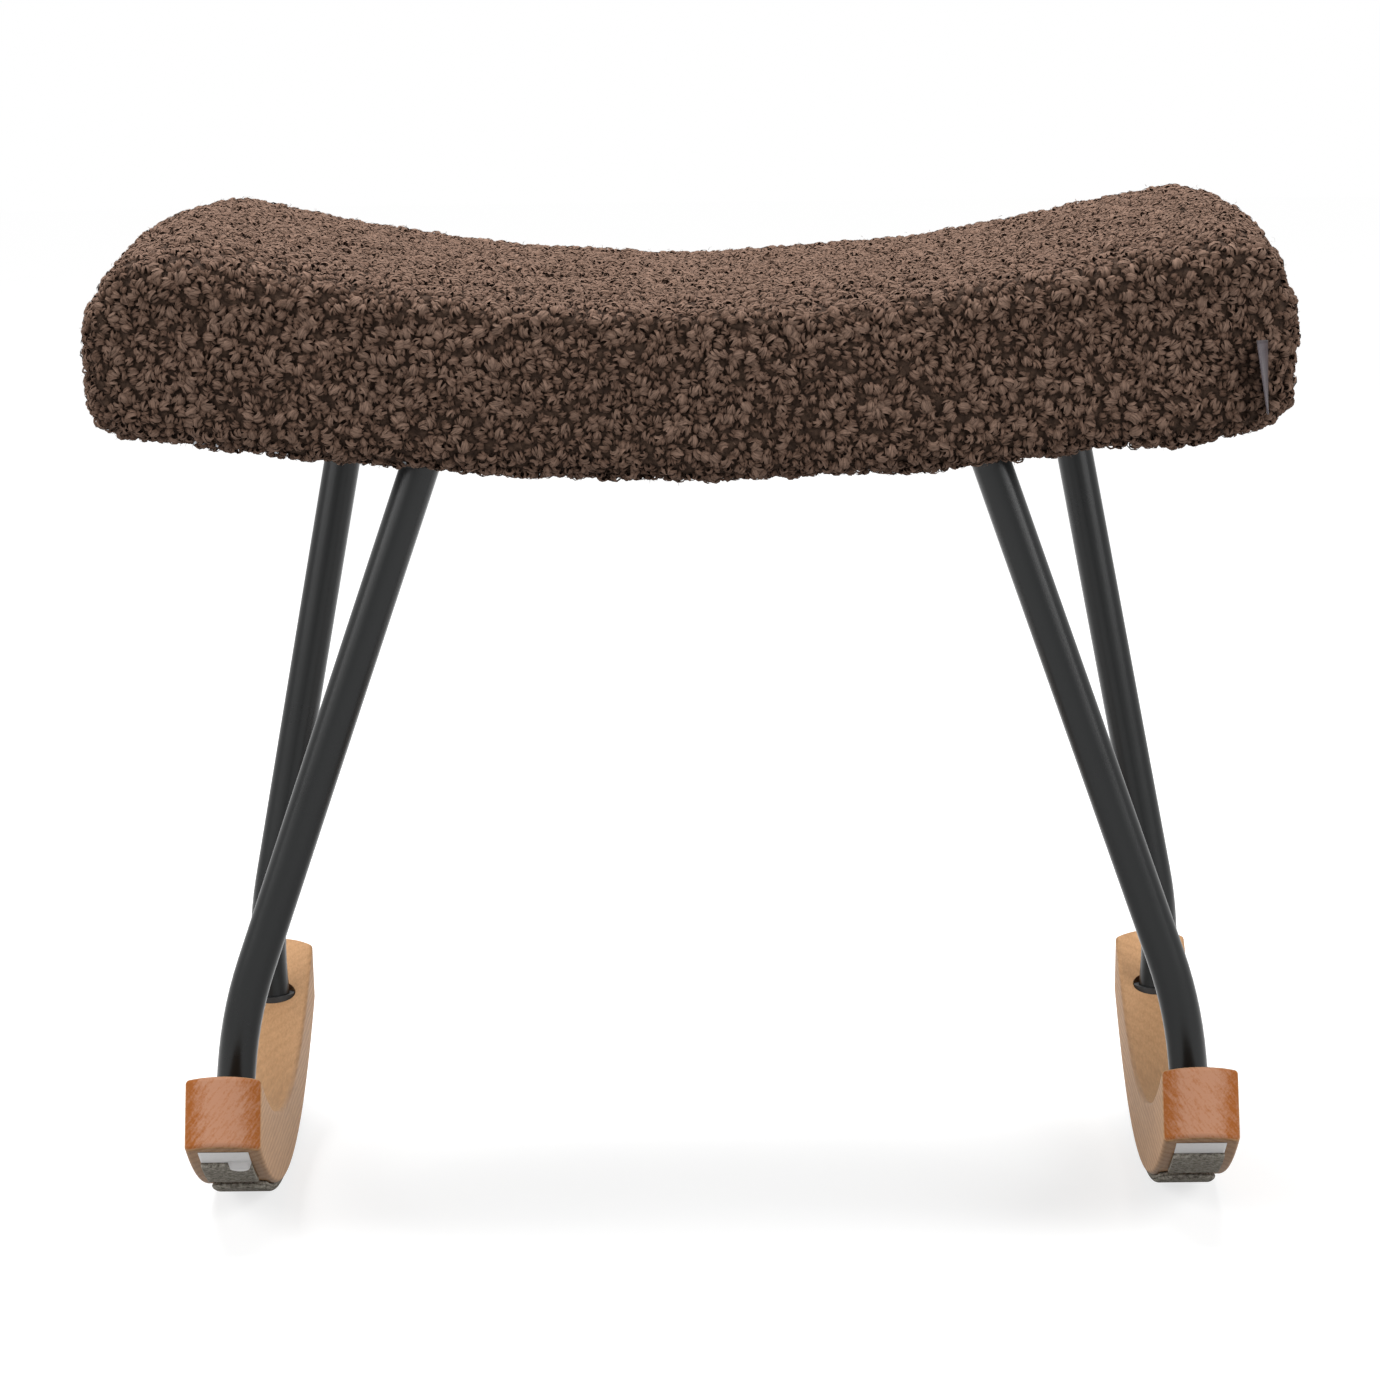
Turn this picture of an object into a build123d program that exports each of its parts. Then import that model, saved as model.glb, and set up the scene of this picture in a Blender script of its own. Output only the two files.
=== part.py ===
from build123d import *
import math
import os

# Rocking footstool: a saddle-curved upholstered seat on four bent steel tubes,
# which stand in two curved wooden rockers with felt underneath.
# Axes: +X along the seat, +Y away from the front, +Z up, in millimetres.
# The origin is on the floor under the middle of the seat. The pieces are worked out
# about the middle of the legs, and all move over together at the end.

# --- Rockers: a strip of wood bent to one radius, square in section ---
ROCKER_X = 198.2  # from the middle of the stool to the middle of a rocker
ROCKER_WIDTH = 31.0
ROCKER_THICK = 30.0
ROCKER_RADIUS = 460.0  # running surface
ROCKER_CHORD = 380.0  # straight length between the two lower end edges
ROCKER_END_BULGE = 6.0  # how far the end faces round outwards, seen from above
ROCKER_EDGE_ROUND = 2.0

# --- Felt under the rockers and the blank labels ---
FELT_THICK = 3.5
FELT_SQUASH = 0.4  # how much the stool's weight flattens the long strip
STRIP_WIDTH = 24.0
STRIP_GAP = 9.0  # between the long strip and the pads at its ends
STRIP_INSET = 1.5  # strips lie this much nearer to the middle of the stool
PAD_WIDTH = 21.0
PAD_THICK = 2.0
PAD_LENGTH = 39.0
PAD_END_INSET = 19.0  # from the rocker's end edge to the pad
LABEL_WIDTH = 20.0
LABEL_LENGTH = 17.0
LABEL_THICK = 0.3
LABEL_GAP = 0.5

# --- Leg tubes: one bend each, near the foot ---
TUBE_DIAMETER = 16.0
TUBE_WALL = 1.5
LEG_BEND_RADIUS = 170.0
FOOT_INSET = 52.0  # from the rocker's end edge to the axis of the tube, in Y
LEG_TOP_Y = 146.0
FRONT_FOOT_X = 196.6
FRONT_FOOT_TILT = 4.5  # degrees from vertical, outwards towards the floor
FRONT_LEAN = 19.0  # degrees from vertical, of the long upper stretch
REAR_FOOT_X = 199.0
REAR_FOOT_TILT = -4.6
REAR_LEAN = 10.2
FRONT_BEND_Z = 91.5  # height where the two straight stretches would cross
REAR_BEND_Z = 85.0

# --- Sockets, collars and screws that join tube and rocker ---
SOCKET_CLEARANCE = 0.2  # round a tube in its wooden socket
SOCKET_DEPTH = 18.0
SOCKET_WEB = 5.0  # wood left under a socket
COLLAR_DIAMETER = 20.4
COLLAR_THICK = 3.0
COLLAR_SINK = 4.0  # how far the collar's seat lies under the tube's entry point
COLLAR_FIT = 0.15
PLUG_LENGTH = 24.0
PLUG_FIT = 0.05
FOOT_SCREW_DIAMETER = 5.0
FOOT_SCREW_HEAD = 8.5
FOOT_SCREW_HEAD_HEIGHT = 5.0
FOOT_SCREW_GRIP = 14.0  # length of thread inside the plug
FOOT_WASHER_DIAMETER = 10.0
WASHER_THICK = 1.2
SCREW_CLEARANCE = 0.3
COUNTERBORE_CLEARANCE = 0.5

# --- Seat: outside of the cover ---
SEAT_SHIFT = -5.0  # the seat sits this far off the middle of the legs, in X
SEAT_X = 238.0  # half length at the top and bottom edges
SEAT_END_BULGE = 7.0
SEAT_Y = 177.0  # half depth at the top and bottom edges
SEAT_FACE_BULGE = 5.0
UNDERSIDE_Z = 320.0  # middle of the board's underside
UNDERSIDE_RADIUS = 1500.0
TOP_Z = 389.5  # middle of the saddle
SADDLE_X = 170.0  # half length of the hollow part of the top
SADDLE_RISE = 18.5
END_CROWN_RADIUS = 175.0  # where the top rolls over to the ends
CROWN_DROP = 4.0  # how much lower the top is along the front and rear edges
SEAT_EDGE_ROUND = 12.0
SEAM_Z = 371.5  # seam between top panel and bands, in the middle of the front
SEAM_RADIUS = 1800.0
CORNER_SEAM_X = 232.0  # upright seams between front, rear and end bands

# --- Seat: layers ---
FABRIC_THICK = 5.0  # backing and curled pile
TURN_UNDER_THICK = 3.0
TURN_UNDER_WIDTH = 18.0
LAYER_FIT = 0.3
BOARD_THICK = 12.0
DUST_THICK = 0.9

# --- Steel rails under the seat and their screws ---
RAIL_WIDTH = 23.0
RAIL_THICK = 5.0
RAIL_OVERHANG = 16.0  # past the axis of the leg
RAIL_SCREW_DIAMETER = 6.0
RAIL_SCREW_HEAD = 11.5
RAIL_SCREW_HEAD_HEIGHT = 3.0  # countersunk, flush with the rail
FRONT_SCREW_PITCH = 80.0
REAR_SCREW_PITCH = 110.0
SCREWS_PER_SIDE = 1  # screws on each side of the middle one
TNUT_FLANGE = 18.0
TNUT_FLANGE_THICK = 1.2
TNUT_BARREL = 8.0
TNUT_LENGTH = 10.0

# --- Staples and tag ---
STAPLE_CROWN = 10.0
STAPLE_LEG = 7.0
STAPLE_WIRE = 1.0
STAPLE_PITCH = 28.0
STAPLE_EDGE = 9.0  # from the edge of the turned-under cloth
TAG_HEIGHT = 29.0
TAG_LENGTH = 13.0
TAG_THICK = 0.8
TAG_Z = 353.5
TAG_TURN = -28.0  # degrees that the tag swings outwards from straight ahead, here inwards

# --- How far the working arcs and cutting blocks run past the seat ---
FACE_ARC_BELOW = 40.0  # the front face's swelling arc starts this far under the board
FACE_ARC_ABOVE = 60.0  # and ends this far over the middle of the top
CUT_MARGIN = 20.0

# --- Worked out from the sizes above ---
FOOT_Y = ROCKER_CHORD / 2 - FOOT_INSET
PAD_FRONT_Y = ROCKER_CHORD / 2 - PAD_END_INSET
PAD_NEAR_Y = PAD_FRONT_Y - PAD_LENGTH
STRIP_LENGTH = 2 * (PAD_NEAR_Y - STRIP_GAP)
ARC_Z = ROCKER_RADIUS + FELT_THICK - FELT_SQUASH  # centre height of the rockers' arcs
ROCKER_INNER_RADIUS = ROCKER_RADIUS - ROCKER_THICK
ROCKER_HALF_ANGLE = math.degrees(math.asin(ROCKER_CHORD / 2 / ROCKER_RADIUS))
DUST_TOP_RADIUS = UNDERSIDE_RADIUS + LAYER_FIT
RAIL_TOP_RADIUS = DUST_TOP_RADIUS + DUST_THICK
RAIL_TO_BOARD_TOP = RAIL_THICK + DUST_THICK + LAYER_FIT + BOARD_THICK
RAIL_LOW_RADIUS = RAIL_TOP_RADIUS + RAIL_THICK
SEAT_ARC_Z = UNDERSIDE_Z + UNDERSIDE_RADIUS
SEAM_ARC_Z = SEAM_Z + SEAM_RADIUS
BIG = 4 * SEAT_X  # longer than the whole stool, for cutting blocks
REACH = TOP_Z + BIG


# ---------------------------------------------------------------- helpers


def ring_sector(outer, inner, half_angle, width):
    """Part of a ring about the rockers' centre line, in the YZ plane, centred on X = 0."""
    low = -90 - half_angle
    arcs = [CenterArc((0, 0), r, low, 2 * half_angle) for r in (outer, inner)]
    ends = [Line(arcs[1] @ k, arcs[0] @ k) for k in (0, 1)]
    face = make_face(arcs + ends)
    return Pos(0, 0, ARC_Z) * (Plane.YZ * extrude(face, width / 2, both=True))


def at_angle(angle, radius):
    """A place on the rockers' arcs: Z points at the centre, X across, Y along the arc."""
    turn = math.radians(angle)
    spot = (0, radius * math.sin(turn), ARC_Z - radius * math.cos(turn))
    return Plane(spot, x_dir=(1, 0, 0), z_dir=(0, -math.sin(turn), math.cos(turn)))


def angle_of(y, radius=ROCKER_RADIUS):
    """Angle along the rockers' arcs of a point that lies y from the middle."""
    return math.degrees(math.asin(y / radius))


def seat_plane(x, y, radius):
    """A place on an arc of the seat's underside, x from the seat's middle: Z points at the
    centre of that arc."""
    turn = math.asin(x / radius)
    spot = (SEAT_SHIFT + x, y, SEAT_ARC_Z - radius * math.cos(turn))
    return Plane(spot, x_dir=(math.cos(turn), 0, math.sin(turn)),
                 z_dir=(-math.sin(turn), 0, math.cos(turn)))


def seat_slab(low_radius, high_radius):
    """Curved slab between two arcs about the seat's centre line, larger than the seat."""
    half = math.degrees(math.asin((SEAT_X + SEAT_END_BULGE + CUT_MARGIN) / high_radius))
    arcs = [CenterArc((0, 0), r, -90 - half, 2 * half) for r in (low_radius, high_radius)]
    ends = [Line(arcs[0] @ k, arcs[1] @ k) for k in (0, 1)]
    face = make_face(arcs + ends)
    return Pos(SEAT_SHIFT, 0, SEAT_ARC_Z) * (Plane.XZ * extrude(face, SEAT_Y + 2 * CUT_MARGIN, both=True))


def cylinder_up(plane, radius, start, length):
    """Cylinder on a plane's axis, from start to start + length above the plane."""
    return plane * Pos(0, 0, start + length / 2) * Cylinder(radius, length)


# ---------------------------------------------------------------- legs


class Leg:
    """One bent tube. side is -1 left or 1 right, end is -1 front or 1 rear."""

    def __init__(self, side, end):
        front = end < 0
        foot_x = FRONT_FOOT_X if front else REAR_FOOT_X
        tilt = math.radians(FRONT_FOOT_TILT if front else REAR_FOOT_TILT)
        lean = math.radians(FRONT_LEAN if front else REAR_LEAN)
        bend_z = FRONT_BEND_Z if front else REAR_BEND_Z
        entry_z = ARC_Z - math.sqrt(ROCKER_INNER_RADIUS**2 - FOOT_Y**2)
        self.entry = Vector(side * foot_x, end * FOOT_Y, entry_z)
        bend_x = foot_x - (bend_z - entry_z) * math.tan(tilt)
        self.bend = Vector(side * bend_x, end * FOOT_Y, bend_z)
        top_z = UNDERSIDE_Z + RAIL_WIDTH
        top_x = bend_x - (top_z - bend_z) * math.tan(lean)
        self.top = Vector(side * top_x, end * LEG_TOP_Y, top_z)
        self.axis = (self.bend - self.entry).normalized()
        self.foot = Plane(self.entry, x_dir=(0, 1, 0), z_dir=self.axis)
        upper = (self.top - self.bend).normalized()
        rail_z = SEAT_ARC_Z - (RAIL_TOP_RADIUS + RAIL_LOW_RADIUS) / 2
        self.rail_x = abs((self.bend + upper * ((rail_z - bend_z) / upper.Z)).X)

    def path(self):
        """Axis of the tube, from the floor of its socket to above the rail."""
        start = self.entry - self.axis * SOCKET_DEPTH
        down = (start - self.bend).normalized()
        up = (self.top - self.bend).normalized()
        half_bend = math.radians(180 - down.get_angle(up)) / 2
        trim = LEG_BEND_RADIUS * math.tan(half_bend)
        inward = (down + up).normalized()
        centre = self.bend + inward * (LEG_BEND_RADIUS / math.cos(half_bend))
        first = self.bend + down * trim
        last = self.bend + up * trim
        middle = centre - inward * LEG_BEND_RADIUS
        return Wire([
            Edge.make_line(start, first),
            Edge.make_three_point_arc(first, middle, last),
            Edge.make_line(last, self.top),
        ])

    def tube(self):
        """The tube itself, coped to the underside of its rail."""
        path = self.path()
        mouth = Plane(path @ 0, z_dir=path % 0)
        outer = sweep(mouth * Circle(TUBE_DIAMETER / 2), path=path)
        bore = sweep(mouth * Circle(TUBE_DIAMETER / 2 - TUBE_WALL), path=path)
        above_rail = seat_slab(RAIL_LOW_RADIUS, UNDERSIDE_RADIUS - 2 * RAIL_WIDTH)
        return outer - bore - above_rail

    def collar(self):
        """Flat black ring round the tube, on its seat in the rocker."""
        ring = cylinder_up(self.foot, COLLAR_DIAMETER / 2, -COLLAR_SINK, COLLAR_THICK)
        hole = TUBE_DIAMETER / 2 + COLLAR_FIT
        return ring - cylinder_up(self.foot, hole, -2 * COLLAR_SINK, 4 * COLLAR_SINK)

    def plug(self):
        """Threaded plug pressed into the foot of the tube."""
        radius = TUBE_DIAMETER / 2 - TUBE_WALL - PLUG_FIT
        body = cylinder_up(self.foot, radius, -SOCKET_DEPTH, PLUG_LENGTH)
        thread = FOOT_SCREW_DIAMETER / 2 + PLUG_FIT
        return body - cylinder_up(self.foot, thread, -2 * SOCKET_DEPTH, 4 * SOCKET_DEPTH)

    def socket(self):
        """Everything that is cut from the rocker for this tube and its screw."""
        deep = SOCKET_DEPTH + SOCKET_WEB
        hole = cylinder_up(self.foot, TUBE_DIAMETER / 2 + SOCKET_CLEARANCE,
                           -SOCKET_DEPTH, SOCKET_DEPTH + ROCKER_THICK)
        seat = cylinder_up(self.foot, COLLAR_DIAMETER / 2 + 2 * SOCKET_CLEARANCE,
                           -COLLAR_SINK, COLLAR_SINK + ROCKER_THICK)
        drill = FOOT_SCREW_DIAMETER / 2 + SCREW_CLEARANCE
        shaft = cylinder_up(self.foot, drill, -2 * deep, 2 * deep)
        bore = FOOT_WASHER_DIAMETER / 2 + COUNTERBORE_CLEARANCE
        recess = cylinder_up(self.foot, bore, -2 * deep, deep)
        return hole + seat + shaft + recess

    def washer(self):
        """Washer under the head of the foot screw."""
        low = -SOCKET_DEPTH - SOCKET_WEB - WASHER_THICK
        disc = cylinder_up(self.foot, FOOT_WASHER_DIAMETER / 2, low, WASHER_THICK)
        drill = FOOT_SCREW_DIAMETER / 2 + SCREW_CLEARANCE
        return disc - cylinder_up(self.foot, drill, 2 * low, -4 * low)

    def screw(self):
        """Socket-head screw from under the rocker into the plug."""
        low = -SOCKET_DEPTH - SOCKET_WEB - WASHER_THICK
        head = cylinder_up(self.foot, FOOT_SCREW_HEAD / 2, low - FOOT_SCREW_HEAD_HEIGHT,
                           FOOT_SCREW_HEAD_HEIGHT)
        shank = cylinder_up(self.foot, FOOT_SCREW_DIAMETER / 2, low,
                            FOOT_SCREW_GRIP - SOCKET_DEPTH - low)
        key = extrude(RegularPolygon(FOOT_SCREW_HEAD / 4, 6), FOOT_SCREW_HEAD_HEIGHT / 2)
        key_place = self.foot.offset(low - FOOT_SCREW_HEAD_HEIGHT)
        return head + shank - key_place * key


# ---------------------------------------------------------------- rockers and felt


def rocker(side, legs):
    """Bent wooden runner with rounded end faces, eased edges and two tube sockets."""
    longer = ROCKER_HALF_ANGLE + angle_of(2 * ROCKER_END_BULGE)
    body = ring_sector(ROCKER_RADIUS, ROCKER_INNER_RADIUS, longer, ROCKER_WIDTH)
    end_radius = ((ROCKER_WIDTH / 2) ** 2 + ROCKER_END_BULGE**2) / (2 * ROCKER_END_BULGE)
    for end in (-1, 1):
        beyond = Pos(0, end * ROCKER_WIDTH, 0) * Box(2 * ROCKER_WIDTH, 2 * ROCKER_WIDTH, 4 * ROCKER_THICK)
        round_end = Pos(0, end * (ROCKER_END_BULGE - end_radius), 0)
        round_end = round_end * Cylinder(end_radius, 4 * ROCKER_THICK)
        body -= at_angle(end * ROCKER_HALF_ANGLE, ROCKER_RADIUS) * (beyond - round_end)
    body = fillet(body.edges(), ROCKER_EDGE_ROUND)
    body = Pos(side * ROCKER_X, 0, 0) * body
    for leg in legs:
        body -= leg.socket()
    return body


def felt_pad(side, near, far):
    """Thin felt pad on the running surface between two distances from the middle, in Y."""
    outer = ring_sector(ROCKER_RADIUS + PAD_THICK, ROCKER_RADIUS, ROCKER_HALF_ANGLE, PAD_WIDTH)
    keep = Pos(0, (near + far) / 2, 0) * Box(2 * PAD_WIDTH, far - near, REACH)
    return Pos(side * ROCKER_X, 0, 0) * (outer & keep)


def felt_strip(side):
    """Long strip with round ends, flattened where it stands on the floor."""
    outer_radius = ROCKER_RADIUS + FELT_THICK
    band = ring_sector(outer_radius, ROCKER_RADIUS, ROCKER_HALF_ANGLE, 2 * STRIP_WIDTH)
    column = extrude(SlotOverall(STRIP_LENGTH, STRIP_WIDTH, rotation=90), REACH)
    return Pos(side * (ROCKER_X - STRIP_INSET), 0, 0) * (band & column)


def label(side):
    """Blank label on the wood in front of the front pad."""
    far = PAD_FRONT_Y + LABEL_GAP
    band = ring_sector(ROCKER_RADIUS + LABEL_THICK, ROCKER_RADIUS, ROCKER_HALF_ANGLE, LABEL_WIDTH)
    keep = Pos(0, -far - LABEL_LENGTH / 2, 0) * Box(2 * LABEL_WIDTH, LABEL_LENGTH, REACH)
    return Pos(side * ROCKER_X, 0, 0) * (band & keep)


# ---------------------------------------------------------------- seat


def seat_outline(inset, under, drop):
    """Outline of the seat seen from the front: inset is taken off ends and top, under off
    the bottom, and drop lowers the whole top."""
    saddle_radius = (SADDLE_X**2 + SADDLE_RISE**2) / (2 * SADDLE_RISE)
    slope = math.asin(SADDLE_X / saddle_radius)
    saddle_z = TOP_Z - drop + saddle_radius
    roll_x = SADDLE_X + END_CROWN_RADIUS * math.sin(slope)
    roll_z = saddle_z - saddle_radius * math.cos(slope) - END_CROWN_RADIUS * math.cos(slope)
    hollow = saddle_radius + inset
    roll = END_CROWN_RADIUS - inset
    joint = (hollow * math.sin(slope), saddle_z - hollow * math.cos(slope))
    end_x = SEAT_X - inset
    top_end = (end_x, roll_z + math.sqrt(roll**2 - (end_x - roll_x) ** 2))
    low_radius = UNDERSIDE_RADIUS + TURN_UNDER_THICK - under
    low_z = SEAT_ARC_Z
    low_end = (end_x, low_z - math.sqrt(low_radius**2 - end_x**2))
    swell = (end_x + SEAT_END_BULGE, (top_end[1] + low_end[1]) / 2)

    def mirrored(point):
        return (-point[0], point[1])

    return make_face([
        ThreePointArc(mirrored(low_end), (0, low_z - low_radius), low_end),
        ThreePointArc(low_end, swell, top_end),
        ThreePointArc(top_end, (roll_x, roll_z + roll), joint),
        ThreePointArc(joint, (0, saddle_z - hollow), mirrored(joint)),
        ThreePointArc(mirrored(joint), (-roll_x, roll_z + roll), mirrored(top_end)),
        ThreePointArc(mirrored(top_end), mirrored(swell), mirrored(low_end)),
    ])


def seat_form(inset, under):
    """Crowned, swelling solid of the seat, inset from the outside of the cover."""
    half = SEAT_Y + SEAT_FACE_BULGE
    stations = [Plane.XZ.offset(-y) * seat_outline(inset, under, drop)
                for y, drop in ((-half, CROWN_DROP), (0, 0), (half, CROWN_DROP))]
    form = loft(stations)
    low, high = UNDERSIDE_Z - FACE_ARC_BELOW, TOP_Z + FACE_ARC_ABOVE
    face_y = SEAT_Y - inset
    belly = (low + high) / 2
    swell = face_y + SEAT_FACE_BULGE
    corners = [(-face_y, low), (-face_y, high), (face_y, high), (face_y, low)]
    side_view = make_face([
        ThreePointArc(corners[0], (-swell, belly), corners[1]),
        Line(corners[1], corners[2]),
        ThreePointArc(corners[2], (swell, belly), corners[3]),
        Line(corners[3], corners[0]),
    ])
    form = form & (Plane.YZ * extrude(side_view, BIG, both=True))
    return Pos(SEAT_SHIFT, 0, 0) * fillet(form.edges(), SEAT_EDGE_ROUND - inset)


def above_seam():
    """Block over the seam between the top panel and the bands."""
    half = BIG / 2
    lift = SEAM_ARC_Z - math.sqrt(SEAM_RADIUS**2 - half**2)
    seam = ThreePointArc((-half, lift), (0, SEAM_Z), (half, lift))
    lid = Polyline((half, lift), (half, REACH), (-half, REACH), (-half, lift))
    face = make_face([seam] + lid.edges())
    return Pos(SEAT_SHIFT, 0, 0) * (Plane.XZ * extrude(face, BIG / 2, both=True))


def staples():
    """Wire staples in the turned-under edge of the cover, all round the board."""
    low_radius = UNDERSIDE_RADIUS + TURN_UNDER_THICK
    crown = Pos(0, 0, -STAPLE_WIRE / 2) * Box(STAPLE_CROWN, STAPLE_WIRE, STAPLE_WIRE)
    reach = (STAPLE_CROWN - STAPLE_WIRE) / 2
    for side in (-1, 1):
        crown += Pos(side * reach, 0, STAPLE_LEG / 2) * Box(STAPLE_WIRE, STAPLE_WIRE, STAPLE_LEG)
    along_x = int((SEAT_X - 2 * STAPLE_CROWN) // STAPLE_PITCH)
    along_y = int((SEAT_Y - 3 * STAPLE_CROWN) // STAPLE_PITCH)
    made = []
    for side in (-1, 1):
        for k in range(-along_x, along_x + 1):
            spot = seat_plane(k * STAPLE_PITCH, side * (SEAT_Y - STAPLE_EDGE), low_radius)
            made.append(spot * crown)
        for k in range(-along_y, along_y + 1):
            spot = seat_plane(side * (SEAT_X - STAPLE_EDGE), k * STAPLE_PITCH, low_radius)
            made.append(spot * Rot(0, 0, 90) * crown)
    return made


def rail_screw_places():
    """Where the rail screws stand, on the underside of the rails."""
    places = []
    for end, pitch in ((-1, FRONT_SCREW_PITCH), (1, REAR_SCREW_PITCH)):
        for k in range(-SCREWS_PER_SIDE, SCREWS_PER_SIDE + 1):
            places.append(seat_plane(k * pitch, end * LEG_TOP_Y, RAIL_LOW_RADIUS))
    return places


def countersunk(place, margin=0.0):
    """Conical screw head, flush with a rail's underside; margin grows it to cut its seat."""
    half = RAIL_SCREW_HEAD_HEIGHT / 2
    cone = Cone(RAIL_SCREW_HEAD / 2 + margin, RAIL_SCREW_DIAMETER / 2 + margin, 2 * half)
    return place * Pos(0, 0, half) * cone


def rail(end, legs):
    """Flat steel bar bent to the seat's underside, which carries two legs."""
    length = 2 * (max(leg.rail_x for leg in legs) + RAIL_OVERHANG)
    bar = seat_slab(RAIL_LOW_RADIUS, RAIL_TOP_RADIUS)
    bar &= Pos(0, end * LEG_TOP_Y, 0) * Box(length, RAIL_WIDTH, 2 * REACH)
    drill = RAIL_SCREW_DIAMETER / 2 + SCREW_CLEARANCE
    for place in rail_screw_places():
        bar -= cylinder_up(place, drill, -RAIL_THICK, 3 * RAIL_THICK)
        bar -= countersunk(place, SCREW_CLEARANCE)
    return bar


def rail_screw(place):
    """Countersunk screw through rail, lining and board into its T-nut."""
    shank = cylinder_up(place, RAIL_SCREW_DIAMETER / 2, 0, RAIL_TO_BOARD_TOP)
    key = extrude(RegularPolygon(RAIL_SCREW_DIAMETER / 3, 6), RAIL_SCREW_HEAD_HEIGHT / 2)
    return countersunk(place) + shank - place * key


def t_nut(place, margin=0.0):
    """Flanged nut let into the board from above; margin grows it to cut its pocket."""
    top = RAIL_TO_BOARD_TOP
    flange = cylinder_up(place, TNUT_FLANGE / 2 + margin, top, TNUT_FLANGE_THICK + margin)
    barrel = cylinder_up(place, TNUT_BARREL / 2 + margin, top - TNUT_LENGTH, TNUT_LENGTH)
    if margin:
        return flange + barrel
    thread = cylinder_up(place, RAIL_SCREW_DIAMETER / 2 + PLUG_FIT, 0, 2 * top)
    return flange + barrel - thread


def tag(cover):
    """Folded satin tag that stands out of the right front corner seam, blank."""
    plate = Pos(0, -TAG_LENGTH / 2, 0) * Box(TAG_THICK, TAG_LENGTH, TAG_HEIGHT)
    root_y = -(SEAT_Y + SEAT_FACE_BULGE - FABRIC_THICK / 2)
    placed = Pos(SEAT_SHIFT + CORNER_SEAM_X, root_y, TAG_Z) * Rot(0, 0, TAG_TURN) * plate
    return placed - cover


# ---------------------------------------------------------------- assembly


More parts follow.
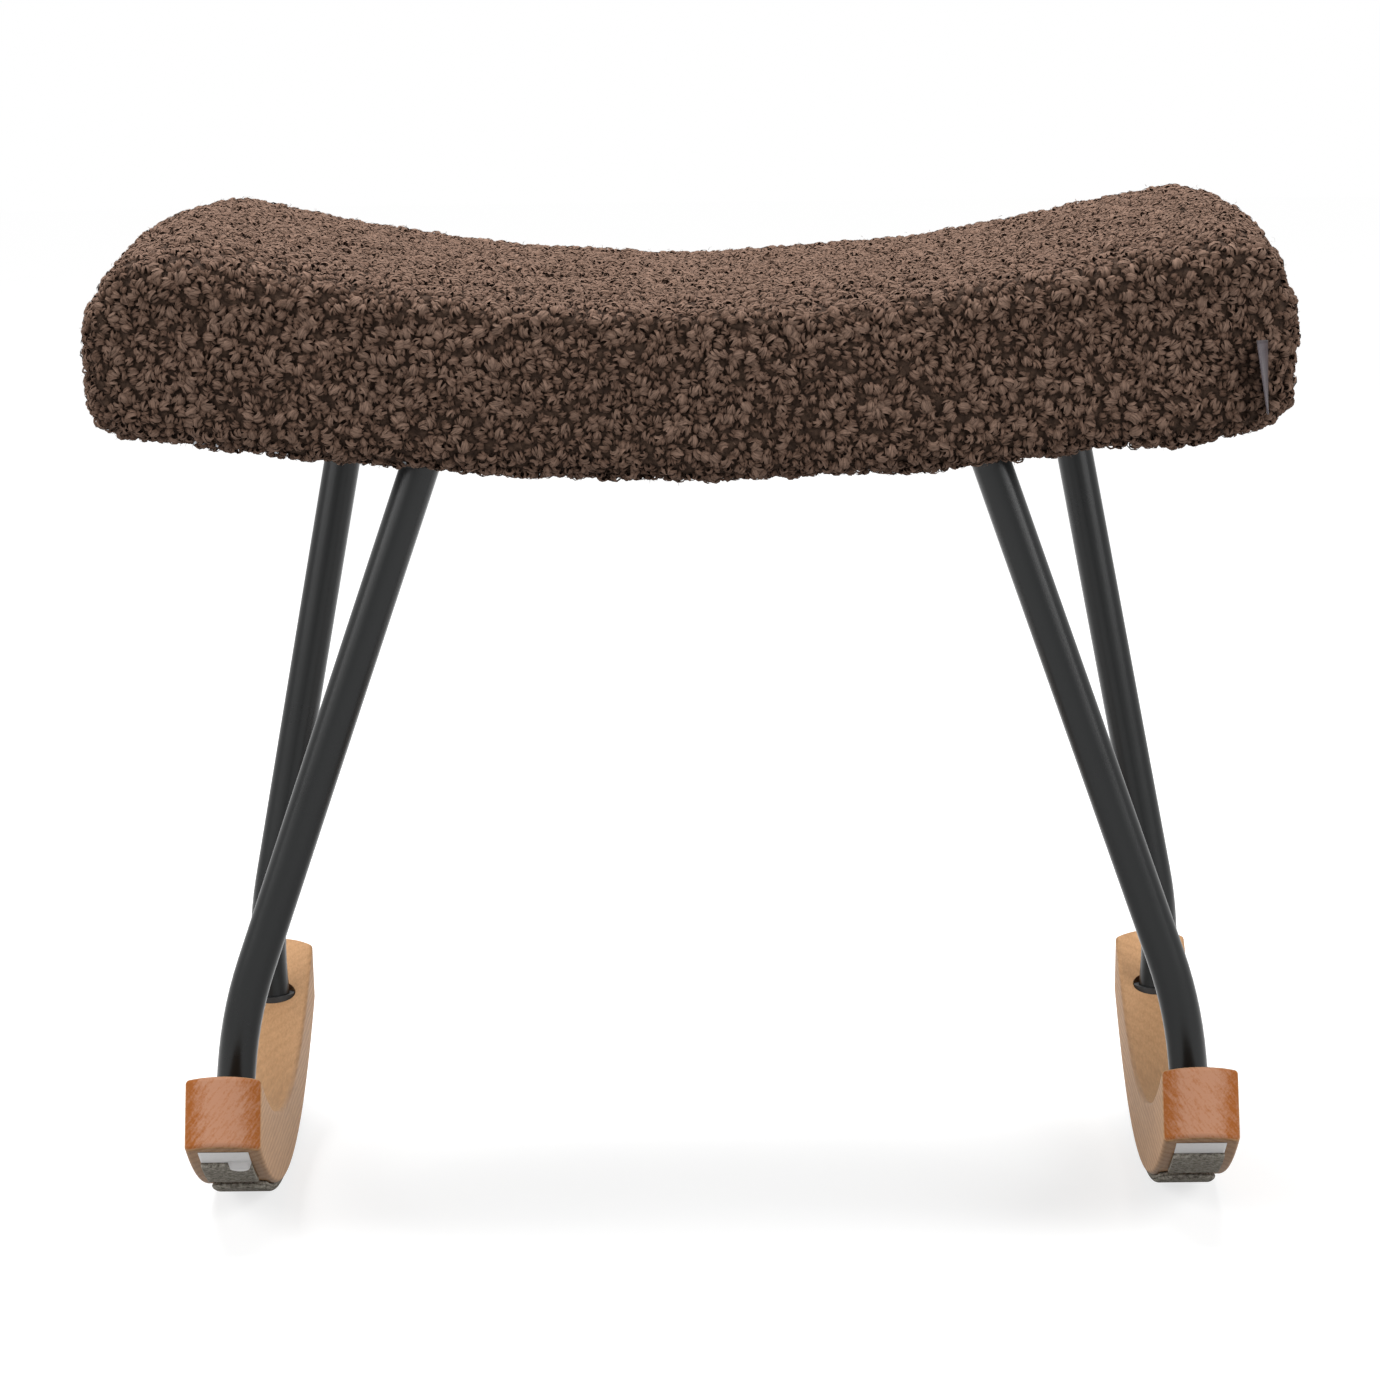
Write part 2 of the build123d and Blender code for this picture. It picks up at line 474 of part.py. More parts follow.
def main():
    nodes = {}
    side_names = {-1: "left", 1: "right"}
    end_names = {-1: "front", 1: "rear"}

    legs = {(side, end): Leg(side, end) for end in (-1, 1) for side in (-1, 1)}
    for (side, end), leg in legs.items():
        name = f"{end_names[end]}_{side_names[side]}"
        nodes[f"{name}_leg"] = leg.tube()
        nodes[f"{name}_collar"] = leg.collar()
    nodes["foot_plugs"] = [leg.plug() for leg in legs.values()]
    nodes["foot_screws"] = [leg.screw() for leg in legs.values()]
    nodes["foot_washers"] = [leg.washer() for leg in legs.values()]

    for side, name in side_names.items():
        nodes[f"{name}_rocker"] = rocker(side, [legs[side, -1], legs[side, 1]])
        nodes[f"{name}_felt_strip"] = felt_strip(side)
        nodes[f"{name}_front_felt_pad"] = felt_pad(side, -PAD_FRONT_Y, -PAD_NEAR_Y)
        nodes[f"{name}_rear_felt_pad"] = felt_pad(side, PAD_NEAR_Y, PAD_FRONT_Y)
        nodes[f"{name}_label"] = label(side)

    nodes["front_rail"] = rail(-1, [legs[-1, -1], legs[1, -1]])
    nodes["rear_rail"] = rail(1, [legs[-1, 1], legs[1, 1]])
    places = rail_screw_places()
    nodes["rail_screws"] = [rail_screw(place) for place in places]
    nodes["t_nuts"] = [t_nut(place) for place in places]

    outside = seat_form(0, 0)
    lining = seat_form(FABRIC_THICK, TURN_UNDER_THICK)
    cover = outside - lining
    opening_x = 2 * (SEAT_X - TURN_UNDER_WIDTH)
    opening_y = 2 * (SEAT_Y - TURN_UNDER_WIDTH)
    opening = Pos(SEAT_SHIFT, 0, 0) * Box(opening_x, opening_y, 2 * REACH)
    cover -= opening & seat_slab(RAIL_LOW_RADIUS, UNDERSIDE_RADIUS)
    nodes["staples"] = staples()
    cover -= nodes["staples"]

    upper = above_seam()
    nodes["cover_top_panel"] = cover & upper
    bands = cover - upper
    middle = Pos(SEAT_SHIFT, 0, 0) * Box(2 * CORNER_SEAM_X, BIG, REACH * 2)
    long_bands = bands & middle
    end_bands = bands - middle
    front_half = Pos(0, -BIG / 2, 0) * Box(BIG, BIG, REACH * 2)
    right_half = Pos(BIG / 2, 0, 0) * Box(BIG, BIG, REACH * 2)
    nodes["cover_front_band"] = long_bands & front_half
    nodes["cover_rear_band"] = long_bands - front_half
    nodes["cover_right_end_band"] = end_bands & right_half
    nodes["cover_left_end_band"] = end_bands - right_half
    nodes["seam_tag"] = tag(outside)

    core = seat_form(FABRIC_THICK + LAYER_FIT, TURN_UNDER_THICK)
    board = core & seat_slab(UNDERSIDE_RADIUS, UNDERSIDE_RADIUS - BOARD_THICK)
    foam = core - seat_slab(UNDERSIDE_RADIUS + BOARD_THICK, UNDERSIDE_RADIUS - BOARD_THICK)
    for place in places:
        board -= t_nut(place, SCREW_CLEARANCE)
        board -= cylinder_up(place, RAIL_SCREW_DIAMETER / 2 + SCREW_CLEARANCE, 0, 2 * RAIL_TO_BOARD_TOP)
        foam -= t_nut(place, SCREW_CLEARANCE)
    nodes["seat_board"] = board - nodes["staples"]
    nodes["foam_pad"] = foam
    sheet = Pos(SEAT_SHIFT, 0, 0) * Box(opening_x - 2 * LAYER_FIT, opening_y - 2 * LAYER_FIT, 2 * REACH)
    dust = seat_slab(RAIL_TOP_RADIUS, DUST_TOP_RADIUS) & sheet
    for place in places:
        dust -= cylinder_up(place, RAIL_SCREW_DIAMETER / 2 + SCREW_CLEARANCE, 0, 2 * RAIL_TO_BOARD_TOP)
    nodes["dust_cover"] = dust

    os.makedirs("parts", exist_ok=True)
    for name, shape in nodes.items():
        solids = shape if isinstance(shape, list) else [shape]
        pieces = [Pos(-SEAT_SHIFT, 0, 0) * solid for item in solids for solid in item.solids()]
        whole = pieces[0] if len(pieces) == 1 else Compound(children=pieces)
        export_step(whole, f"parts/{name}.step")


main()
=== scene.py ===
import logging
import math
from dataclasses import dataclass, field
from enum import Enum
from typing import Sequence

import bmesh
import bpy
import numpy as np
from mathutils import Matrix, Vector
from mathutils.kdtree import KDTree


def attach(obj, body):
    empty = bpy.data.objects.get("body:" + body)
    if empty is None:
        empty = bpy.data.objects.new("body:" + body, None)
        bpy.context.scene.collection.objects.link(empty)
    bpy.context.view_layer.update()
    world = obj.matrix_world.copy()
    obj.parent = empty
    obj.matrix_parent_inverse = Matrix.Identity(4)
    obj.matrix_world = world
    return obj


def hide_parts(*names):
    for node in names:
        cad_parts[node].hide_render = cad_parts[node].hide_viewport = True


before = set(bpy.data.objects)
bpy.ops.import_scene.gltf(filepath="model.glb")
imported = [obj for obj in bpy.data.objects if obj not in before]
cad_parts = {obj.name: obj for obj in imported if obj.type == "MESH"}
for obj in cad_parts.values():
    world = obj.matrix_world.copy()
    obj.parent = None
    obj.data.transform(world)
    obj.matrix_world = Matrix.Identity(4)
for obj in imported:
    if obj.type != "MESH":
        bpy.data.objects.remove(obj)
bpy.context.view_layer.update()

LOG = logging.getLogger("footstool")
MM = 0.001
SAME_POINT = 1e-6  # points of a solid's mesh this close are one point

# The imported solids, which the pieces are fitted to.
NODES: dict[str, bpy.types.Object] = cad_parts

Tree = bpy.types.NodeTree
Node = bpy.types.Node
Socket = bpy.types.NodeSocket
Colour = Sequence[float] | Socket
Shape = tuple[np.ndarray, np.ndarray, np.ndarray]  # points, quads and a value for each point


# ------------------------------------------------------------------ shader tools


def linear(hex_colour: str) -> tuple[float, float, float, float]:
    """Turns an sRGB hex colour into linear light.

    Args:
        hex_colour: Colour as #rrggbb.

    Returns:
        Red, green, blue and an alpha of 1.
    """
    parts = [int(hex_colour[k:k + 2], 16) / 255 for k in (1, 3, 5)]
    light = [c / 12.92 if c <= 0.04045 else ((c + 0.055) / 1.055) ** 2.4 for c in parts]
    return (*light, 1.0)


def add(tree: Tree, kind: str, inputs: dict | None = None, **settings) -> Node:
    """Adds a shader node, with its settings, its constants and its links.

    Args:
        tree: The material's or world's node tree.
        kind: The node's type name.
        inputs: Input name or number to a constant or to another node's output.
        settings: Properties of the node.

    Returns:
        The new node.
    """
    node = tree.nodes.new(kind)
    for name, value in settings.items():
        setattr(node, name, value)
    for key, value in (inputs or {}).items():
        if isinstance(value, Socket):
            tree.links.new(value, node.inputs[key])
        else:
            node.inputs[key].default_value = value
    return node


def maths(tree: Tree, operation: str, *terms: float | Socket) -> Socket:
    """Adds one step of arithmetic.

    Args:
        tree: The node tree.
        operation: Blender's name for the step.
        terms: One to three constants or outputs.

    Returns:
        The result.
    """
    return add(tree, "ShaderNodeMath", dict(enumerate(terms)), operation=operation).outputs[0]


def remap(tree: Tree, value: Socket, source: Sequence[float] = (0.0, 1.0),
          target: Sequence[float] = (0.0, 1.0), **settings) -> Socket:
    """Maps one range of a value to another, clamped at its ends.

    Args:
        tree: The node tree.
        value: The value.
        source: The range it comes from.
        target: The range it goes to.
        settings: Properties of the node.

    Returns:
        The mapped value.
    """
    ends = {"Value": value, "From Min": source[0], "From Max": source[1],
            "To Min": target[0], "To Max": target[1]}
    return add(tree, "ShaderNodeMapRange", ends, **settings).outputs[0]


def blend(tree: Tree, share: Socket, first: Colour, second: Colour) -> Socket:
    """Mixes two colours.

    Args:
        tree: The node tree.
        share: How much of the second.
        first: A colour.
        second: Another.

    Returns:
        The mixed colour.
    """
    inputs = {"Factor": share, 6: first, 7: second}
    return add(tree, "ShaderNodeMix", inputs, data_type="RGBA").outputs[2]


def shaded(tree: Tree, colour: Colour, level: Socket) -> Socket:
    """Makes a colour lighter or darker.

    Args:
        tree: The node tree.
        colour: The colour.
        level: What it is multiplied by.

    Returns:
        The shaded colour.
    """
    return add(tree, "ShaderNodeVectorMath", {0: colour, "Scale": level}, operation="SCALE").outputs[0]


def noise(tree: Tree, place: Socket, detail: float = 2.0, roughness: float = 0.5) -> Socket:
    """Adds soft noise whose cells are one unit wide.

    Args:
        tree: The node tree.
        place: Coordinates.
        detail: Octaves.
        roughness: Weight of the finer octaves.

    Returns:
        The noise, 0 to 1.
    """
    inputs = {"Vector": place, "Scale": 1.0, "Detail": detail, "Roughness": roughness}
    return add(tree, "ShaderNodeTexNoise", inputs).outputs["Fac"]


def scaled(tree: Tree, place: Socket, scale: Sequence[float]) -> Socket:
    """Scales coordinates along X, Y and Z.

    Args:
        tree: The node tree.
        place: Coordinates.
        scale: Cells a unit along each direction.

    Returns:
        The scaled coordinates.
    """
    return add(tree, "ShaderNodeMapping", {"Vector": place, "Scale": scale}).outputs[0]


def facing(tree: Tree) -> Node:
    """Takes apart the direction that the surface looks in.

    Args:
        tree: The material's node tree.

    Returns:
        A node with the outputs X, Y and Z.
    """
    normal = add(tree, "ShaderNodeNewGeometry").outputs["Normal"]
    return add(tree, "ShaderNodeSeparateXYZ", {0: normal})


def seen_directly(tree: Tree) -> Socket:
    """Finds the rays that show the background: to the camera, off a gloss or through glass.

    Args:
        tree: The material's or world's node tree.

    Returns:
        1 for such a ray, or 0.
    """
    path = add(tree, "ShaderNodeLightPath")
    seen = path.outputs["Is Camera Ray"]
    for name in ("Is Glossy Ray", "Is Transmission Ray"):
        seen = maths(tree, "MAXIMUM", seen, path.outputs[name])
    return seen


def node_material(name: str) -> bpy.types.Material:
    """Makes an empty node material.

    Args:
        name: Its name.

    Returns:
        The material, without nodes.
    """
    made = bpy.data.materials.new(name)
    made.use_nodes = True
    made.node_tree.nodes.clear()
    return made


# ------------------------------------------------------------------ mesh tools


def shown(name: str, data: bpy.types.ID) -> bpy.types.Object:
    """Makes an object of its data and puts it into the scene.

    Args:
        name: The object's name.
        data: A mesh, lamp or camera.

    Returns:
        The new object.
    """
    made = bpy.data.objects.new(name, data)
    bpy.context.scene.collection.objects.link(made)
    return made


def finish_piece(name: str, mesh: bpy.types.Mesh, material: bpy.types.Material, slot: str,
                 *replaced: str) -> bpy.types.Object:
    """Makes an object of a mesh, rides it on the stool and hides the CAD nodes that it stands for.

    Args:
        name: The piece's name.
        mesh: Its finished mesh, in the frame's own place.
        material: Its finish.
        slot: The piece's material slot; not used.
        replaced: CAD nodes that it stands for.

    Returns:
        The new object.
    """
    piece = shown(name, mesh)
    if not mesh.materials:
        mesh.materials.append(material)
    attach(piece, "root")
    if replaced:
        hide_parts(*replaced)
    LOG.info("%s made", name)
    return piece


def merged(*names: str) -> bmesh.types.BMesh:
    """Copies solids' meshes into one bmesh, with points in the same place made one.

    Args:
        names: The solids' nodes.

    Returns:
        The bmesh, for the caller to free.
    """
    form = bmesh.new()
    for name in names:
        form.from_mesh(NODES[name].data)
    bmesh.ops.remove_doubles(form, verts=form.verts, dist=SAME_POINT)
    return form


def to_mesh(form: bmesh.types.BMesh, name: str) -> bpy.types.Mesh:
    """Writes a bmesh out as a smooth mesh, and frees it.

    Args:
        form: The finished bmesh.
        name: Name of the mesh.

    Returns:
        The mesh.
    """
    for face in form.faces:
        face.smooth = True
    mesh = bpy.data.meshes.new(name)
    form.to_mesh(mesh)
    form.free()
    return mesh


def sheet_mesh(form: bmesh.types.BMesh, thick: float, name: str) -> bpy.types.Mesh:
    """Gives a bent sheet its thickness and writes it out.

    Args:
        form: The sheet.
        thick: Its thickness.
        name: Name of the mesh.

    Returns:
        The mesh.
    """
    bmesh.ops.solidify(form, geom=form.faces[:], thickness=thick)
    bmesh.ops.recalc_face_normals(form, faces=form.faces)
    return to_mesh(form, name)


def points_and_faces(form: bmesh.types.BMesh) -> tuple[np.ndarray, np.ndarray]:
    """Reads a bmesh of quads, and frees it.

    Args:
        form: The bmesh.

    Returns:
        Its points, and its quads as point numbers.
    """
    form.verts.index_update()
    places = np.array([vert.co[:] for vert in form.verts])
    quads = np.array([[vert.index for vert in face.verts] for face in form.faces])
    form.free()
    return places, quads


def dress(material: bpy.types.Material, *names: str) -> None:
    """Gives CAD nodes that keep their own shape a better finish.

    Args:
        material: The finish.
        names: The nodes.
    """
    for name in names:
        node = NODES[name]
        if not node.material_slots:
            node.data.materials.append(material)
        for slot in node.material_slots:
            slot.material = material


# ------------------------------------------------------------------ finishes


@dataclass(frozen=True)
class Finish:
    """A surface finish: one Principled shader, whose pattern a subclass paints."""

    name: str
    colour: str
    roughness: float
    metallic: float = 0.0
    gloss: float = 0.5  # strength of the mirror-like part; 0.5 is plain varnish or plastic

    def material(self) -> bpy.types.Material:
        """Builds the material.

        Returns:
            A node material with the finish's pattern.
        """
        made = node_material(self.name)
        tree = made.node_tree
        shader = add(tree, "ShaderNodeBsdfPrincipled", {
            "Base Color": linear(self.colour), "Roughness": self.roughness, "Metallic": self.metallic,
            "Specular IOR Level": self.gloss})
        add(tree, "ShaderNodeOutputMaterial", {"Surface": shader.outputs[0]})
        made.diffuse_color = linear(self.colour)
        self.pattern(tree, shader)
        return made

    def pattern(self, tree: Tree, shader: Node) -> None:
        """Paints the finish's pattern; plain here, filled in by each finish.

        Args:
            tree: The material's node tree.
            shader: The Principled shader.
        """

    @staticmethod
    def place(tree: Tree, period_mm: float, stretch: Sequence[float] = (1, 1, 1)) -> Socket:
        """Object coordinates scaled so that one unit is a pattern's real period.

        Args:
            tree: The material's node tree.
            period_mm: Size of one repeat, in millimetres.
            stretch: How much longer the repeat is along X, Y and Z.

        Returns:
            The scaled coordinates.
        """
        coords = add(tree, "ShaderNodeTexCoord")
        return scaled(tree, coords.outputs["Object"], [1 / (period_mm * MM * s) for s in stretch])

    @staticmethod
    def bump(tree: Tree, shader: Node, height: Socket, depth_mm: float, strength: float = 1.0) -> None:
        """Feeds a height pattern to the shader as relief.

        Args:
            tree: The material's node tree.
            shader: The Principled shader.
            height: The pattern, 0 to 1.
            depth_mm: Real depth of the relief.
            strength: How much of it shows.
        """
        inputs = {"Height": height, "Distance": depth_mm * MM, "Strength": strength}
        tree.links.new(add(tree, "ShaderNodeBump", inputs).outputs[0], shader.inputs["Normal"])


@dataclass(frozen=True)
class CurlyPile(Finish):
    """Knitted polyester teddy cloth: matt curls, painted lighter at the tips as a highlight and darker down at
    the roots as shade.

    The curls carry an attribute: height over the ground cloth, a shade of their own, and the
    place along and across the strand, which the combed fibres follow.
    """

    # The root colour is painted shade low in the pile, the tip colour a painted highlight at the curls' tops.
    root: str = "#382a22"
    tip_highlight: str = "#6e594d"
    middle: float = 0.45  # height where the pile has its own colour, between the painted shade at the root and the painted highlight at the tip
    own_shade: float = 0.13
    strand_shade: float = 0.42
    fibres: tuple[float, float, float] = (2.6, 17.0, 1.0)  # along, across, and from curl to curl
    relief_mm: float = 0.3
    sheen: float = 0.12
    sheen_tint: str = "#a08878"

    def pattern(self, tree: Tree, shader: Node) -> None:
        """Mixes painted root shade, middle colour and painted tip highlight, and combs fine fibres along each
        strand.

        Args:
            tree: The material's node tree.
            shader: The Principled shader.
        """
        curl = add(tree, "ShaderNodeAttribute", attribute_name="curl")
        parts = add(tree, "ShaderNodeSeparateColor", {"Color": curl.outputs["Color"]})
        own = parts.outputs["Green"]
        ramp = add(tree, "ShaderNodeValToRGB", {"Fac": parts.outputs["Red"]})
        stops = ramp.color_ramp.elements
        stops[0].color = linear(self.root)
        stops[1].color = linear(self.tip_highlight)
        stops.new(self.middle).color = linear(self.colour)
        apart = maths(tree, "MULTIPLY", own, 97.0)  # far enough that no two curls share fibres
        strand = add(tree, "ShaderNodeCombineXYZ", {0: parts.outputs["Blue"], 1: curl.outputs["Alpha"],
                                                    2: apart})
        fibres = noise(tree, scaled(tree, strand.outputs[0], self.fibres), roughness=0.6)
        shade = remap(tree, own, target=(1 - self.own_shade, 1 + self.own_shade))
        streak = remap(tree, fibres, (0.3, 0.7), (1 - self.strand_shade, 1 + self.strand_shade))
        tone = shaded(tree, ramp.outputs["Color"], maths(tree, "MULTIPLY", shade, streak))
        tree.links.new(tone, shader.inputs["Base Color"])
        self.bump(tree, shader, fibres, self.relief_mm, 0.8)
        shader.inputs["Sheen Weight"].default_value = self.sheen
        shader.inputs["Sheen Roughness"].default_value = 0.5
        shader.inputs["Sheen Tint"].default_value = linear(self.sheen_tint)


@dataclass(frozen=True)
class PileGround(Finish):
    """The ground of the teddy cloth between the curls: short matted fibre in small tufts, painted darker as
    the shade down among the curls.
    """

    # Painted shade in the gaps between the tufts.
    gap_shade: str = "#2f241e"
    tuft_mm: float = 3.4
    stir: float = 0.55  # how far the tufts are pushed out of their grid, in tufts
    relief_mm: float = 1.6

    def pattern(self, tree: Tree, shader: Node) -> None:
        """Draws small domed tufts with painted shade in the gaps between them.

        Args:
            tree: The material's node tree.
            shader: The Principled shader.
        """
        place = self.place(tree, self.tuft_mm)
        stirring = add(tree, "ShaderNodeTexNoise", {"Vector": place, "Scale": 2.2, "Detail": 3.0})
        moved = add(tree, "ShaderNodeVectorMath", {
            0: stirring.outputs["Color"], 1: (self.stir,) * 3, 2: place}, operation="MULTIPLY_ADD")
        cells = add(tree, "ShaderNodeTexVoronoi", {"Vector": moved.outputs[0], "Scale": 1.0}, feature="F1")
        dome = remap(tree, cells.outputs["Distance"], (0.25, 0.85), (1.0, 0.0))
        # Painted shade in the gaps, the cloth's colour on the tufts.
        tone = blend(tree, dome, linear(self.gap_shade), linear(self.colour))
        tree.links.new(tone, shader.inputs["Base Color"])
        self.bump(tree, shader, dome, self.relief_mm, 0.9)


@dataclass(frozen=True)
class PowderCoat(Finish):
    """Satin black polyester powder coat on steel: soft highlights broken by faint orange peel."""

    peel_mm: float = 1.4
    cloud_mm: float = 40.0
    cloud: float = 0.06  # how much the roughness wanders

    def pattern(self, tree: Tree, shader: Node) -> None:
        """Adds the orange peel and slow changes of gloss.

        Args:
            tree: The material's node tree.
            shader: The Principled shader.
        """
        self.bump(tree, shader, noise(tree, self.place(tree, self.peel_mm)), 0.03, 0.5)
        clouds = noise(tree, self.place(tree, self.cloud_mm), 3.0)
        gloss = remap(tree, clouds, target=(self.roughness - self.cloud, self.roughness + self.cloud))
        tree.links.new(gloss, shader.inputs["Roughness"])


@dataclass(frozen=True)
class SawnBeech(Finish):
    """Beech sawn to the curve from straight stock, under satin oil; the end faces are redder at their rim and
    paler down the middle, a painted sheen.

    The grain runs straight from front to back with the pith far off to one side, so the sides
    show fine straight lines, the hollow top a faint broad figure and the ends slanting strokes.
    """

    late_wood: str = "#946a46"
    # End faces: the middle colour is the wood's end grain made paler by a painted sheen; the edge colour is
    # the wood's own.
    end_grain_sheen: str = "#a87b61"
    end_edge: str = "#94572a"
    arc_centre_z: float = 0.4631
    track: float = 0.1982  # from the middle of the stool to the middle of a rocker
    middle_x: float = 0.005
    apart: float = 0.7  # how far apart the two rockers' boards lay in the tree, in metres
    pith: tuple[float, float] = (-0.055, -0.060)  # from the rocker's middle line, in X and Z
    ring_mm: float = 3.0
    ring_drift: float = 0.006  # how far a ring strays along the board
    # Cells a metre across, along and up the board, so a pore is about 0.8 mm wide and 14 mm long.
    pores: tuple[float, float, float] = (1300, 70, 1300)
    clouds: tuple[float, float, float] = (60, 9, 60)
    ring_waver: tuple[float, float, float] = (40, 7, 40)
    end_strokes: tuple[float, float, float] = (1100, 30, 200)
    end_specks: tuple[float, float, float] = (1100, 300, 1100)
    end_rim_and_sheen: tuple[float, float] = (0.0045, 0.0145)  # the end faces redden between these, from the middle; the paler middle is a painted sheen
    stroke_turn: float = 38.0  # degrees that the end faces' strokes lean
    painted_underside_shade: float = 0.66  # painted shade on faces that look down
    top_fade: float = 0.65  # how much fainter the figure is on faces that look up
    painted_top_shade: float = 0.88  # painted shade on faces that look up, where the lamp above lights most

    def pattern(self, tree: Tree, shader: Node) -> None:
        """Draws rings, pores and slow clouds in the board, paints shade on faces that look down or up, then
        the end faces.

        Args:
            tree: The material's node tree.
            shader: The Principled shader.
        """
        coords = add(tree, "ShaderNodeTexCoord")
        parts = add(tree, "ShaderNodeSeparateXYZ", {0: coords.outputs["Object"]})
        off = maths(tree, "SUBTRACT", parts.outputs["X"], self.middle_x)
        across = maths(tree, "SUBTRACT", maths(tree, "ABSOLUTE", off), self.track)
        along = maths(tree, "MULTIPLY_ADD", maths(tree, "SIGN", off), self.apart, parts.outputs["Y"])
        board = add(tree, "ShaderNodeCombineXYZ", {0: across, 1: along, 2: parts.outputs["Z"]}).outputs[0]
        pores = noise(tree, self._in_board(tree, board, self.pores), 3.0)
        clouds = noise(tree, self._in_board(tree, board, self.clouds), 2.0)
        grain = remap(tree, self._rings(tree, board), (0.3, 1.0), (0.0, 0.40))
        figure = maths(tree, "ADD", grain, remap(tree, clouds, (0.3, 0.7), (0.0, 0.18)))
        up = facing(tree).outputs["Z"]
        fade = remap(tree, up, (0.4, 0.8), (1.0, 1 - self.top_fade))
        long_grain = blend(tree, maths(tree, "MULTIPLY", figure, fade),
                           linear(self.colour), linear(self.late_wood))
        # Painted shade: faces that look down are darkened.
        under = remap(tree, up, (-0.8, -0.2), (self.painted_underside_shade, 1.0))
        # Painted shade: faces that look up are darkened.
        over = remap(tree, up, (0.4, 0.8), (1.0, self.painted_top_shade))
        fleck = remap(tree, pores, (0.3, 0.7), (0.88, 1.12))
        level = maths(tree, "MULTIPLY", fleck, maths(tree, "MULTIPLY", under, over))
        at_end, end_colour = self._end_faces(tree, parts, across, board)
        wood = blend(tree, at_end, shaded(tree, long_grain, level), end_colour)
        tree.links.new(wood, shader.inputs["Base Color"])
        self.bump(tree, shader, pores, 0.05, 0.35)

    @staticmethod
    def _in_board(tree: Tree, board: Socket, scale: Sequence[float], turn: float = 0.0) -> Socket:
        """Stretches coordinates in the board's own directions.

        Args:
            tree: The material's node tree.
            board: The board's coordinates.
            scale: Cells a metre along each direction.
            turn: How far the cells lie over in the end faces, in degrees.

        Returns:
            The stretched coordinates.
        """
        turned = add(tree, "ShaderNodeMapping", {"Vector": board, "Rotation": (0, math.radians(turn), 0)})
        return scaled(tree, turned.outputs[0], scale)

    def _rings(self, tree: Tree, board: Socket) -> Socket:
        """Growth rings about the pith, unsettled along the length.

        Args:
            tree: The material's node tree.
            board: The board's coordinates.

        Returns:
            Ring brightness, 0 to 1.
        """
        slow = noise(tree, self._in_board(tree, board, self.ring_waver), 2.0)
        centred = add(tree, "ShaderNodeMapping", {
            "Vector": board, "Location": (-self.pith[0], 0, -self.pith[1]), "Scale": (1, 0, 1)})
        away = add(tree, "ShaderNodeVectorMath", {0: centred.outputs[0]}, operation="LENGTH")
        moved = maths(tree, "MULTIPLY_ADD", slow, self.ring_drift, away.outputs["Value"])
        phase = maths(tree, "MULTIPLY", moved, 2 * math.pi / (self.ring_mm * MM))
        return remap(tree, maths(tree, "SINE", phase), (-1.0, 1.0))

    def _end_faces(self, tree: Tree, parts: Node, across: Socket, board: Socket) -> tuple[Socket, Socket]:
        """Finds the end faces by which way they look, and colours them.

        Args:
            tree: The material's node tree.
            parts: The object coordinates, taken apart.
            across: Distance from the middle of the rocker's width.
            board: The board's coordinates.

        Returns:
            How much a point is end grain, and its colour there.
        """
        drop = maths(tree, "SUBTRACT", self.arc_centre_z, parts.outputs["Z"])
        turn = maths(tree, "ARCTAN2", parts.outputs["Y"], drop)
        looks = facing(tree)
        ahead = maths(tree, "MULTIPLY", looks.outputs["Y"], maths(tree, "COSINE", turn))
        along = maths(tree, "MULTIPLY_ADD", looks.outputs["Z"], maths(tree, "SINE", turn), ahead)
        mask = remap(tree, maths(tree, "ABSOLUTE", along), (0.50, 0.66))
        # Redder towards the rim; the paler middle is a painted sheen.
        total = remap(tree, maths(tree, "ABSOLUTE", across), self.end_rim_and_sheen, (0.0, 0.85),
                      interpolation_type="SMOOTHSTEP")
        strokes = noise(tree, self._in_board(tree, board, self.end_strokes, self.stroke_turn), 3.0)
        specks = noise(tree, self._in_board(tree, board, self.end_specks), 2.0)
        for pattern, weight in ((strokes, (-0.36, 0.40)), (specks, (-0.24, 0.28))):
            total = maths(tree, "ADD", total, remap(tree, pattern, (0.3, 0.7), weight))
        share = add(tree, "ShaderNodeClamp", {"Value": total}).outputs[0]
        return mask, blend(tree, share, linear(self.end_grain_sheen), linear(self.end_edge))


@dataclass(frozen=True)
class Felt(Finish):
    """Needled wool-mix felt: matt grey fibres of mixed shade."""

    dark: str = "#57524b"
    fibre_mm: float = 1.6
    relief_mm: float = 0.5

    def pattern(self, tree: Tree, shader: Node) -> None:
        """Mixes light and dark fibres and roughs up the surface.

        Args:
            tree: The material's node tree.
            shader: The Principled shader.
        """
        fibres = noise(tree, self.place(tree, self.fibre_mm), 4.0, 0.7)
        tone = blend(tree, remap(tree, fibres, (0.35, 0.65)), linear(self.dark), linear(self.colour))
        tree.links.new(tone, shader.inputs["Base Color"])
        self.bump(tree, shader, fibres, self.relief_mm, 0.9)


@dataclass(frozen=True)
class Woven(Finish):
    """Thin cloth with a fine crossed weave: satin ribbon, or the spunbond sheet under the seat."""

    thread_mm: float = 0.6
    relief_mm: float = 0.05
    sheen: float = 0.0

    def pattern(self, tree: Tree, shader: Node) -> None:
        """Crosses two sets of bands for the threads.

        Args:
            tree: The material's node tree.
            shader: The Principled shader.
        """
        # At this scale the wave texture runs one cycle, a thread up and a thread down, in about two units.
        bands = {"Vector": self.place(tree, self.thread_mm), "Scale": 0.16, "Distortion": 0.6}
        weft, warp = (add(tree, "ShaderNodeTexWave", bands, wave_type="BANDS", bands_direction=way)
                      for way in ("Z", "DIAGONAL"))
        both = maths(tree, "MULTIPLY", weft.outputs["Fac"], warp.outputs["Fac"])
        self.bump(tree, shader, both, self.relief_mm, 0.5)
        tone = shaded(tree, linear(self.colour)[:3], remap(tree, both, target=(0.88, 1.1)))
        tree.links.new(tone, shader.inputs["Base Color"])
        shader.inputs["Sheen Weight"].default_value = self.sheen


